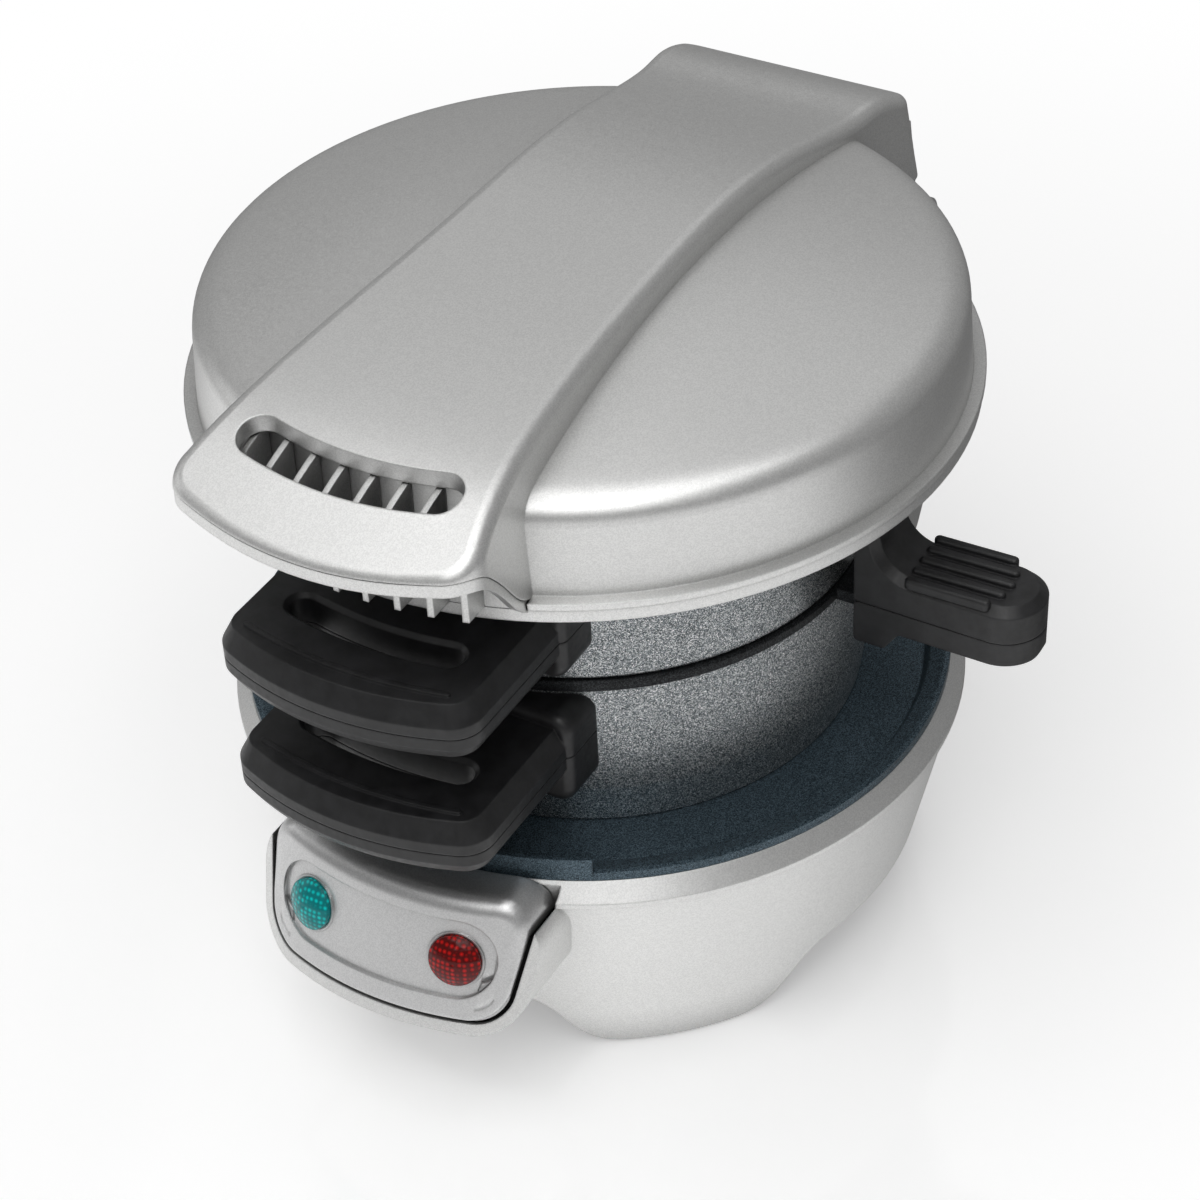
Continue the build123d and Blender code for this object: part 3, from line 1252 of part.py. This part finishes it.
boss_seat_z = lid_underside_z + screw_head_height + 0.2
with BuildPart() as lid_lower_cover:
    add(tube(lower_lip_radius, heater_plate_radius + 0.7, lid_underside_z, lid_underside_z + lower_shell))
    add(tube(lower_lip_radius, lid_wall_foot_radius - 3, lid_underside_z, lip_top_z))
    # band under the handle's edge
    with BuildPart(mode=Mode.PRIVATE) as band:
        add(rounded_strap(0.25, 1))
        add(rounded_strap(strap_skin, 0.5), mode=Mode.SUBTRACT)
        add(below_handle_edge(seam_gap), mode=Mode.INTERSECT)
        add(below_handle_edge(cover_seam_z - lid_underside_z), mode=Mode.SUBTRACT)
        add(tube(lower_lip_radius - 1, 0, 50, 200), mode=Mode.SUBTRACT)
    add(band.part)
    # curved wall and blades under the slot
    with BuildPart(mode=Mode.PRIVATE) as grille:
        wall_radius = lid_wall_foot_radius + seam_gap
        add(tube(wall_radius + handle_wall, wall_radius, lid_underside_z, handle_wall_top_z))
        with Locations((0, -lid_wall_foot_radius, blade_bottom_z)):
            with GridLocations(rib_pitch, 1, rib_count, 1):
                Box(rib_thickness, 60, 40, align=(Align.CENTER, Align.CENTER, Align.MIN))
        add(tube(lid_wall_foot_radius + rib_reach, wall_radius, 50, 200), mode=Mode.INTERSECT)
        add(strap(strap_skin + 0.4, blade_drop), mode=Mode.INTERSECT)
        with Locations((0, 0, 0)):
            Box(200, 200, 400, align=(Align.CENTER, Align.MAX, Align.CENTER), mode=Mode.INTERSECT)
    add(grille.part)
    # room for the knuckles at the back
    with Locations((0, hinge_y - knuckle_radius - 0.8, 0)):
        Box(2 * lobe_outer + 0.6, 60, 400, align=(Align.CENTER, Align.MIN, Align.CENTER), mode=Mode.SUBTRACT)
    for angle in (lid_boss_angle, 180 - lid_boss_angle, 180 + lid_boss_angle, -lid_boss_angle):
        with Locations(Location((lid_boss_ring * cos(radians(angle)), lid_boss_ring * sin(radians(angle)), lid_underside_z))):
            Cylinder(boss_radius + 1, boss_foot_z - lid_underside_z, align=(Align.CENTER, Align.CENTER, Align.MIN))
            Cylinder(
                screw_head_radius + 0.3,
                boss_seat_z - lid_underside_z,
                align=(Align.CENTER, Align.CENTER, Align.MIN),
                mode=Mode.SUBTRACT,
            )
            Cylinder(screw_radius + 0.3, 40, mode=Mode.SUBTRACT)
    with PolarLocations(heater_flange_radius - 2.6, 3, 90):
        Cylinder(screw_radius, 400, mode=Mode.SUBTRACT)
save(lid_lower_cover.part, "lid_lower_cover")

heater_bottom_z = upper_ring_top_z - 3.0
heater_top_z = lid_underside_z + lower_shell + 1.6
upper_element_z = heater_top_z + element_tube_radius / 2
upper_shield_z = upper_element_z + element_drop
with BuildPart() as top_heating_plate:
    add(tube(heater_plate_radius, 0, heater_bottom_z, heater_top_z))
    chamfer(top_heating_plate.edges().group_by(Axis.Z)[0], 0.6)
    add(tube(heater_flange_radius, 0, lid_underside_z + lower_shell, heater_top_z))
    with PolarLocations(40, 3, 270):
        with Locations((0, 0, heater_top_z)):
            Cylinder(boss_radius, upper_shield_z - heater_top_z, align=(Align.CENTER, Align.CENTER, Align.MIN))
            Cylinder(screw_radius, 12, mode=Mode.SUBTRACT)
    with Locations((0, 0, upper_element_z)):
        Torus(element_radius, element_tube_radius + seat_gap, mode=Mode.SUBTRACT)
    with PolarLocations(heater_flange_radius - 2.6, 3, 90):
        Cylinder(screw_radius + 0.3, 400, mode=Mode.SUBTRACT)
save(top_heating_plate.part, "top_heating_plate")
save(heating_element(upper_element_z, 9), "top_heating_element")

with BuildPart() as lid_heat_shield:
    with Locations((0, 0, upper_shield_z)):
        Cylinder(48, shield_thickness, align=(Align.CENTER, Align.CENTER, Align.MIN))
        with PolarLocations(40, 3, 270):
            Cylinder(screw_radius + 0.3, 10, mode=Mode.SUBTRACT)
        with PolarLocations(element_radius, 2, 90 + (360 - element_sweep) / 2, element_sweep - 360, endpoint=True):
            Cylinder(element_tube_radius + 1, 10, mode=Mode.SUBTRACT)
save(lid_heat_shield.part, "lid_heat_shield")

with BuildPart() as lid_wiring:
    for side in (-1, 1):
        start = (side * pin_x, pin_y + element_tube_radius + wire_radius, upper_element_z + 7)
        with BuildLine() as lead:
            Spline(start, (side * pin_x, pin_y + 16, upper_element_z + 7), (side * 6, 62, 130))
        with BuildSketch(Plane(lead.line @ 0, z_dir=lead.line % 0)):
            Circle(wire_radius)
        sweep(path=lead.line)
save(lid_wiring.part, "lid_wiring")

with BuildPart() as lid_screws:
    for angle in (lid_boss_angle, 180 - lid_boss_angle, 180 + lid_boss_angle, -lid_boss_angle):
        with Locations(Location((lid_boss_ring * cos(radians(angle)), lid_boss_ring * sin(radians(angle)), 0))):
            add(screw(12, boss_seat_z, head_up=False))
    with PolarLocations(heater_flange_radius - 2.6, 3, 90):
        add(screw(3.4, heater_top_z))
    with PolarLocations(40, 3, 270):
        add(screw(4, upper_shield_z + shield_thickness))
save(lid_screws.part, "lid_screws")
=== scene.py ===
"""Looks of the breakfast sandwich maker, in Blender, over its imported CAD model. Metres."""
import math

import bpy
from mathutils import Matrix, Vector


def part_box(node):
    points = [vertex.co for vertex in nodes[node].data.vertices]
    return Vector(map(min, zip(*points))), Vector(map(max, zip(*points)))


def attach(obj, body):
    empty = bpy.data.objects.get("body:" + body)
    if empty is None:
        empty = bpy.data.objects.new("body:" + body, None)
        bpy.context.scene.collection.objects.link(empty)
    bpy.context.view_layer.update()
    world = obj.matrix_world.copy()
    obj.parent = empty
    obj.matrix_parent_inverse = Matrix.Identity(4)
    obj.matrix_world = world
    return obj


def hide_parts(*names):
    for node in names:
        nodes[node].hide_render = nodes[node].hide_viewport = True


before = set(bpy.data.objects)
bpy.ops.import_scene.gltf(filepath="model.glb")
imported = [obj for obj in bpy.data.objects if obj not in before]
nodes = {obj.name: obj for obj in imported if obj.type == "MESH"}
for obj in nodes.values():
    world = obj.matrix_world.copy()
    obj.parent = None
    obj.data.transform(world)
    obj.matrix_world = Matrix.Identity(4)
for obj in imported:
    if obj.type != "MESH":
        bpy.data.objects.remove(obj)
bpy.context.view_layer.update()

# ---------------------------------------------------------------- camera
low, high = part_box("top_ring")
axis_x = (low.x + high.x) / 2       # the rings' axis, about which the camera was placed

camera_azimuth = math.radians(31.813)
camera_elevation = math.radians(38.918)
camera_roll = math.radians(-3.081)
camera_distance = 0.62064
camera_aim_side = 0.00053
camera_aim_height = 0.0643
camera_sensor = 36.0
camera_lens = 89.97
camera_clip_start = 0.01


def make_camera():
    """Camera at the photograph's viewpoint."""
    level = math.cos(camera_elevation)
    back = Vector((
        math.sin(camera_azimuth) * level,
        -math.cos(camera_azimuth) * level,
        math.sin(camera_elevation),
    ))
    right = (-back).cross(Vector((0, 0, 1))).normalized()
    up = right.cross(-back)
    tilt_cos, tilt_sin = math.cos(camera_roll), math.sin(camera_roll)
    right, up = tilt_cos * right + tilt_sin * up, tilt_cos * up - tilt_sin * right
    data = bpy.data.cameras.new("camera")
    data.sensor_width = camera_sensor
    data.lens = camera_lens
    data.clip_start = camera_clip_start
    camera = bpy.data.objects.new("camera", data)
    aim = Vector((axis_x, 0, camera_aim_height)) + right * camera_aim_side
    place = aim + back * camera_distance
    turn = Matrix((right, up, back)).transposed().to_4x4()
    camera.matrix_world = Matrix.Translation(place) @ turn
    bpy.context.scene.collection.objects.link(camera)
    bpy.context.scene.camera = camera


make_camera()

# ---------------------------------------------------------------- materials
edge_softness = 0.0005      # radius of the moulded edges
flake_cells = 5200          # paint flakes, nonstick specks and lens facets in a metre
speck_cells = 6500
facet_cells = 950
painted_shade_reach = 0.012         # how near other surfaces have to be for painted shade to darken the paint
# painted shade among the grille's blades: nearer reach and deeper darkening than on the other
# silver
grille_shade_reach = 0.008
grille_shade_depth = 0.93


class Mat:
    """A node material with a Principled shader, and short ways to wire its sockets."""

    def __init__(self, name, color, rough, metal=0.0, spec=0.5, coat=0.0, coat_rough=0.1):
        self.m = bpy.data.materials.new(name)
        self.m.use_nodes = True
        self.t = self.m.node_tree
        self.b = self.t.nodes["Principled BSDF"]
        self.b.inputs["Base Color"].default_value = (*color, 1)
        self.b.inputs["Roughness"].default_value = rough
        self.b.inputs["Metallic"].default_value = metal
        self.b.inputs["Specular IOR Level"].default_value = spec
        self.b.inputs["Coat Weight"].default_value = coat
        self.b.inputs["Coat Roughness"].default_value = coat_rough

    def new(self, kind, **values):
        """Adds a node and sets its properties or sockets."""
        node = self.t.nodes.new(kind)
        for key, value in values.items():
            if hasattr(node, key):
                setattr(node, key, value)
            else:
                node.inputs[key.replace("_", " ")].default_value = value
        return node

    def link(self, a, b):
        self.t.links.new(a, b)

    def coords(self):
        return self.new("ShaderNodeTexCoord").outputs["Object"]

    def noise(self, scale, detail=2.0, roughness=0.5):
        node = self.new("ShaderNodeTexNoise", Scale=scale, Detail=detail, Roughness=roughness)
        self.link(self.coords(), node.inputs["Vector"])
        return node.outputs["Fac"]

    def cells(self, scale, randomness=1.0):
        node = self.new("ShaderNodeTexVoronoi", Scale=scale, Randomness=randomness)
        self.link(self.coords(), node.inputs["Vector"])
        return node

    def ramp(self, source, stops):
        node = self.new("ShaderNodeValToRGB")
        elements = node.color_ramp.elements
        while len(elements) < len(stops):
            elements.new(0.5)
        for element, (place, value) in zip(elements, stops):
            element.position = place
            element.color = (*value, 1) if isinstance(value, tuple) else (value, value, value, 1)
        self.link(source, node.inputs["Fac"])
        return node.outputs["Color"]

    def bump(self, source, strength, distance=0.0002):
        node = self.new("ShaderNodeBump", Strength=strength, Distance=distance)
        self.link(source, node.inputs["Height"])
        bevel = self.new("ShaderNodeBevel", samples=4, Radius=edge_softness)
        self.link(bevel.outputs["Normal"], node.inputs["Normal"])
        self.link(node.outputs["Normal"], self.b.inputs["Normal"])
        return node


def metallic_paint(name, color, rough=0.4, flake=0.07, shade_reach=painted_shade_reach, depth=0.45):
    """Silver paint on moulded plastic: fine flakes, slightly mottled, darkened by painted shade
    in narrow places.
    """
    m = Mat(name, color, rough, metal=0.85, coat=0.15, coat_rough=0.3)
    dark = tuple(c * (1 - flake) for c in color)
    light = tuple(min(1, c * (1 + flake)) for c in color)
    flakes = m.cells(flake_cells)
    paint = m.ramp(flakes.outputs["Color"], [(0.3, dark), (0.7, light)])
    # painted shade: ambient occlusion darkens the paint where other surfaces are near, down to 1
    # - depth of its colour
    openness = m.new("ShaderNodeAmbientOcclusion", samples=4, Distance=shade_reach)
    painted_shade = m.new("ShaderNodeMix", data_type="RGBA", blend_type="MULTIPLY")
    painted_shade.inputs[0].default_value = 1.0
    m.link(paint, painted_shade.inputs[6])
    m.link(m.ramp(openness.outputs["AO"], [(0.25, 1 - depth), (0.9, 1.0)]), painted_shade.inputs[7])
    m.link(painted_shade.outputs[2], m.b.inputs["Base Color"])
    sheen = m.ramp(m.noise(1500), [(0.3, rough - 0.04), (0.7, rough + 0.05)])
    m.link(sheen, m.b.inputs["Roughness"])
    m.bump(m.noise(2600, 1), 0.1, 0.00003)
    return m.m


def nonstick(name, color, glint, rough=0.45, metal=0.5):
    """Dark coat with bright mineral specks."""
    m = Mat(name, color, rough, metal=metal, spec=0.3)
    specks = m.cells(speck_cells)
    dark = tuple(c * 0.3 for c in color)
    shade = m.ramp(specks.outputs["Color"], [(0.25, dark), (0.55, color), (0.9, glint)])
    m.link(shade, m.b.inputs["Base Color"])
    sheen = m.ramp(m.noise(1900, 2), [(0.3, rough - 0.08), (0.7, rough + 0.08)])
    m.link(sheen, m.b.inputs["Roughness"])
    m.bump(m.noise(3200, 2), 0.3, 0.00004)
    return m.m


def black_plastic(name, color=(0.013, 0.013, 0.014), rough=0.42, spec=0.55):
    """Moulded phenolic: satin, with a faint grain."""
    m = Mat(name, color, rough, spec=spec)
    dark = tuple(c * 0.7 for c in color)
    light = tuple(c * 1.4 for c in color)
    m.link(m.ramp(m.noise(260, 3), [(0.35, dark), (0.65, light)]), m.b.inputs["Base Color"])
    sheen = m.ramp(m.noise(900), [(0.3, rough - 0.05), (0.7, rough + 0.07)])
    m.link(sheen, m.b.inputs["Roughness"])
    m.bump(m.noise(2400, 3), 0.22, 0.00004)
    return m.m


def metal(name, color, rough=0.3):
    """Bare metal with a slightly uneven polish."""
    m = Mat(name, color, rough, metal=1.0)
    dark = tuple(c * 0.85 for c in color)
    m.link(m.ramp(m.noise(700, 3), [(0.3, dark), (0.7, color)]), m.b.inputs["Base Color"])
    sheen = m.ramp(m.noise(300, 3), [(0.3, rough - 0.06), (0.7, rough + 0.08)])
    m.link(sheen, m.b.inputs["Roughness"])
    return m.m


def lens(name, color, deep):
    """Coloured lens moulded with small pyramids inside."""
    m = Mat(name, color, 0.22, spec=0.2, coat=0.3, coat_rough=0.03)
    facets = m.cells(facet_cells, 0.1)
    shade = m.ramp(facets.outputs["Distance"], [(0.12, color), (0.5, deep)])
    m.link(shade, m.b.inputs["Base Color"])
    m.bump(facets.outputs["Distance"], 0.5, 0.0003)
    return m.m


silver_color = (0.82, 0.82, 0.81)
silver = metallic_paint("silver_paint", silver_color)
# a copy of the silver paint with deeper painted shade, for the grille blades of the lower lid
# cover
grille_silver_shaded = metallic_paint(
    "silver_paint_grille_shaded", silver_color, shade_reach=grille_shade_reach, depth=grille_shade_depth)
panel_silver = metallic_paint("panel_silver_paint", (0.70, 0.70, 0.70), 0.36)
coat = nonstick("speckled_nonstick", (0.24, 0.27, 0.285), (1.0, 1.0, 1.0), 0.37, 0.8)
# the cooking plate's coat is painted nearly black, far darker than the rings' coat: painted shade
# for its edge in the gap between the rings
plate_coat_shaded = nonstick("plate_nonstick_painted_shade", (0.02, 0.022, 0.024), (0.06, 0.065, 0.07), 0.4)
tray_coat = nonstick("tray_nonstick", (0.078, 0.118, 0.148), (0.18, 0.25, 0.3), 0.34)
black = black_plastic("black_phenolic")
dark = black_plastic("dark_moulded", (0.03, 0.03, 0.03), 0.5)
rubber = black_plastic("foot_rubber", (0.02, 0.02, 0.02), 0.7)
# the seal under the control panel is nearly black, darker than the other black parts, so that the
# gap below the panel reads black
seal = black_plastic("seal_near_black", (0.002, 0.002, 0.002), 0.7, 0.1)
steel = metal("plain_steel", (0.62, 0.61, 0.6))
element = metal("sheathed_element", (0.2, 0.19, 0.18), 0.45)
reflector = metal("reflector_sheet", (0.75, 0.75, 0.75), 0.25)
white = black_plastic("off_white_moulded", (0.7, 0.68, 0.62), 0.5, 0.5)
wire = black_plastic("braided_lead", (0.45, 0.42, 0.36), 0.7, 0.3)
green = lens("green_lens", (0.0, 0.85, 0.82), (0.0, 0.26, 0.27))
red = lens("red_lens", (0.75, 0.006, 0.004), (0.12, 0.001, 0.001))
lamp = black_plastic("lamp_body", (0.6, 0.5, 0.4), 0.3, 0.5)

finishes = {
    silver: ["base_housing", "lid_cover", "hinge_bracket"],
    grille_silver_shaded: ["lid_lower_cover"],
    panel_silver: ["control_panel"],
    coat: ["bottom_ring", "top_ring", "top_heating_plate"],
    plate_coat_shaded: ["cooking_plate"],
    tray_coat: ["bottom_heating_plate"],
    black: [
        "lower_handle_top", "lower_handle_bottom", "upper_handle_top", "upper_handle_bottom",
        "plate_handle_top", "plate_handle_bottom",
    ],
    dark: ["bottom_cover", "cord_gland"],
    rubber: ["foot_front_right", "foot_front_left", "foot_rear_right", "foot_rear_left"],
    seal: ["panel_seal"],
    steel: [
        "hinge_pin", "pin_clip", "plate_pivot_pin", "base_screws", "lid_screws",
        "lower_handle_screws", "upper_handle_screws", "plate_handle_screw", "thermal_fuse",
    ],
    element: ["bottom_heating_element", "top_heating_element"],
    reflector: ["heat_shield", "lid_heat_shield"],
    white: ["terminal_block", "thermostat"],
    wire: ["base_wiring", "lid_wiring"],
    green: ["preheat_lens"],
    red: ["power_lens"],
    lamp: ["preheat_lamp", "power_lamp"],
}
for material, names in finishes.items():
    for name in names:
        for slot in nodes[name].material_slots:
            slot.material = material

# ---------------------------------------------------------------- control panel
# The panel's own lower front edge is rolled; here its face is carried on to a crisp edge instead.
panel_foot_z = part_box("control_panel")[0].z
panel_lean = math.radians(18.4)
panel_radius = 0.0707               # of its bowed face
panel_axis_y = -0.01269             # of that bow, at the height of the lenses
panel_axis_z = 0.0436
panel_foot_half_width = 0.02639     # of its outline, at its foot
panel_side_slope = 0.15             # how much the sides spread for each unit of height
panel_corner = 0.0067
panel_edge = 0.0006                 # roundness of its edge
panel_wall = 0.0023
panel_border = 0.0048               # width of the rolled edge, up to the recess
panel_skin = 0.00285                # points further than this behind the face, less
panel_skin_slope = 0.55             # this share of the inset, are not of its front
panel_side_depth = 0.0065
panel_fade_low = 0.040              # the edge is carried forward less and less from this height
panel_fade_high = 0.054             # up to this one
panel_sharp_angle = math.radians(32)


def panel_inset(x, z):
    """How far a point of the panel lies inside its outline."""
    from_foot = z - panel_foot_z
    half_width = panel_foot_half_width + panel_side_slope * from_foot
    from_side = half_width - abs(x)
    if from_foot < panel_corner and from_side < panel_corner:
        return panel_corner - math.hypot(panel_corner - from_foot, panel_corner - from_side)
    return min(from_foot, from_side)


def panel_face_y(x, z):
    """Where the bowed, leaning face of the panel lies."""
    chord = math.sqrt(panel_radius**2 - x**2)
    rise = (z - panel_axis_z) * math.sin(panel_lean)
    return panel_axis_y + (rise - chord) / math.cos(panel_lean)


def make_panel():
    """The panel with its face carried on to a crisp lower edge, close over the black seal."""
    source = nodes["control_panel"].data
    points = []
    for vertex in source.vertices:
        x, y, z = vertex.co
        inset = max(0.0, panel_inset(x - axis_x, z))
        face_y = panel_face_y(x - axis_x, z)
        behind = y - face_y
        on_side = inset < panel_wall and behind < panel_side_depth
        on_front = behind < panel_skin - panel_skin_slope * inset
        share = min(1.0, max(0.0, (panel_fade_high - z) / (panel_fade_high - panel_fade_low)))
        if inset < panel_border and (on_side or on_front):
            fall = panel_edge - min(inset, panel_edge)
            edge_y = face_y + panel_edge - math.sqrt(panel_edge**2 - fall**2)
            y += share * (edge_y - y)
        points.append((x, y, z))
    mesh = bpy.data.meshes.new("panel_face")
    mesh.from_pydata(points, [], [tuple(face.vertices) for face in source.polygons])
    mesh.shade_smooth()
    mesh.set_sharp_from_angle(angle=panel_sharp_angle)
    panel = bpy.data.objects.new("panel_face", mesh)
    bpy.context.scene.collection.objects.link(panel)
    mesh.materials.append(panel_silver)
    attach(panel, "base")
    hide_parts("control_panel")


make_panel()

# ---------------------------------------------------------------- floor and light
floor_size = 4.0
floor_cuts = 8
table_rough = 0.12
table_bright_y = -0.03      # what shiny surfaces see of the table darkens from here
table_dark_y = 0.10         # to here
table_bright_level = 0.92
table_dark_level = 0.12
table_glow = 0.31
backdrop_near = 0.12        # the camera sees more and more plain white from this distance
backdrop_far = 0.42         # up to this one
room_level = 0.22


def make_floor():
    """White glossy table: white to the camera, darker at the back in reflections."""
    bpy.ops.mesh.primitive_grid_add(
        x_subdivisions=floor_cuts, y_subdivisions=floor_cuts, size=floor_size, location=(0, 0, 0))
    floor = bpy.context.object
    floor.name = "floor"
    m = Mat("floor", (0.9, 0.9, 0.9), table_rough, spec=0.9)
    place = m.new("ShaderNodeSeparateXYZ")
    m.link(m.coords(), place.inputs["Vector"])
    depth = m.new("ShaderNodeMapRange", clamp=True)
    depth.inputs["From Min"].default_value = table_bright_y
    depth.inputs["From Max"].default_value = table_dark_y
    m.link(place.outputs["Y"], depth.inputs["Value"])
    fade = m.ramp(depth.outputs["Result"], [(0.0, table_bright_level), (1.0, table_dark_level)])
    path = m.new("ShaderNodeLightPath")
    shade = m.new("ShaderNodeMix", data_type="RGBA")
    factor, first, second = shade.inputs[0], shade.inputs[6], shade.inputs[7]
    second.default_value = (1, 1, 1, 1)
    m.link(path.outputs["Is Camera Ray"], factor)
    m.link(fade, first)
    m.link(shade.outputs[2], m.b.inputs["Base Color"])
    m.link(shade.outputs[2], m.b.inputs["Emission Color"])
    seen = m.new("ShaderNodeMath", operation="MAXIMUM")
    m.link(path.outputs["Is Camera Ray"], seen.inputs[0])
    m.link(path.outputs["Is Glossy Ray"], seen.inputs[1])
    glow = m.new("ShaderNodeMath", operation="MULTIPLY")
    m.link(seen.outputs["Value"], glow.inputs[0])
    glow.inputs[1].default_value = table_glow
    m.link(glow.outputs["Value"], m.b.inputs["Emission Strength"])
    away = m.new("ShaderNodeVectorMath", operation="LENGTH")
    m.link(m.coords(), away.inputs[0])
    far = m.new("ShaderNodeMapRange", clamp=True, interpolation_type="SMOOTHSTEP")
    far.inputs["From Min"].default_value = backdrop_near
    far.inputs["From Max"].default_value = backdrop_far
    m.link(away.outputs["Value"], far.inputs["Value"])
    veil = m.new("ShaderNodeMath", operation="MULTIPLY")
    m.link(far.outputs["Result"], veil.inputs[0])
    m.link(path.outputs["Is Camera Ray"], veil.inputs[1])
    backdrop = m.new("ShaderNodeEmission", Color=(1, 1, 1, 1), Strength=1.0)
    blend = m.new("ShaderNodeMixShader")
    m.link(veil.outputs["Value"], blend.inputs[0])
    m.link(m.b.outputs["BSDF"], blend.inputs[1])
    m.link(backdrop.outputs["Emission"], blend.inputs[2])
    m.link(blend.outputs["Shader"], m.t.nodes["Material Output"].inputs["Surface"])
    floor.data.materials.append(m.m)


def area(name, place, width, depth, level):
    """Soft box turned to the subject; level is the brightness of its face, 1 being white."""
    data = bpy.data.lights.new(name, "AREA")
    data.shape = "RECTANGLE"
    data.size = width
    data.size_y = depth
    data.energy = level * math.pi * width * depth
    light = bpy.data.objects.new(name, data)
    light.location = place
    aim = Vector(subject) - Vector(place)
    light.rotation_euler = aim.to_track_quat("-Z", "Y").to_euler()
    bpy.context.scene.collection.objects.link(light)


def make_world(strength):
    """Even grey room, white to the camera."""
    world = bpy.data.worlds.new("studio")
    bpy.context.scene.world = world
    world.use_nodes = True
    tree = world.node_tree
    room = tree.nodes["Background"]
    room.inputs["Color"].default_value = (1, 1, 1, 1)
    room.inputs["Strength"].default_value = strength
    white_back = tree.nodes.new("ShaderNodeBackground")
    white_back.inputs["Color"].default_value = (1, 1, 1, 1)
    white_back.inputs["Strength"].default_value = 1.0
    path = tree.nodes.new("ShaderNodeLightPath")
    mix = tree.nodes.new("ShaderNodeMixShader")
    tree.links.new(path.outputs["Is Camera Ray"], mix.inputs["Fac"])
    tree.links.new(room.outputs["Background"], mix.inputs[1])
    tree.links.new(white_back.outputs["Background"], mix.inputs[2])
    tree.links.new(mix.outputs["Shader"], tree.nodes["World Output"].inputs["Surface"])


subject = (axis_x, 0, 0.08)
make_floor()
make_world(room_level)
area("overhead", (0.0, -0.2, 1.2), 1.3, 1.1, 1.45)
area("front", (0.35, -0.75, 1.0), 0.8, 0.7, 1.6)
area("rear", (-0.25, 0.75, 0.95), 1.0, 0.45, 0.35)
area("left", (-1.1, -0.35, 0.5), 0.5, 0.7, 0.7)

bpy.context.scene.view_settings.view_transform = "Standard"
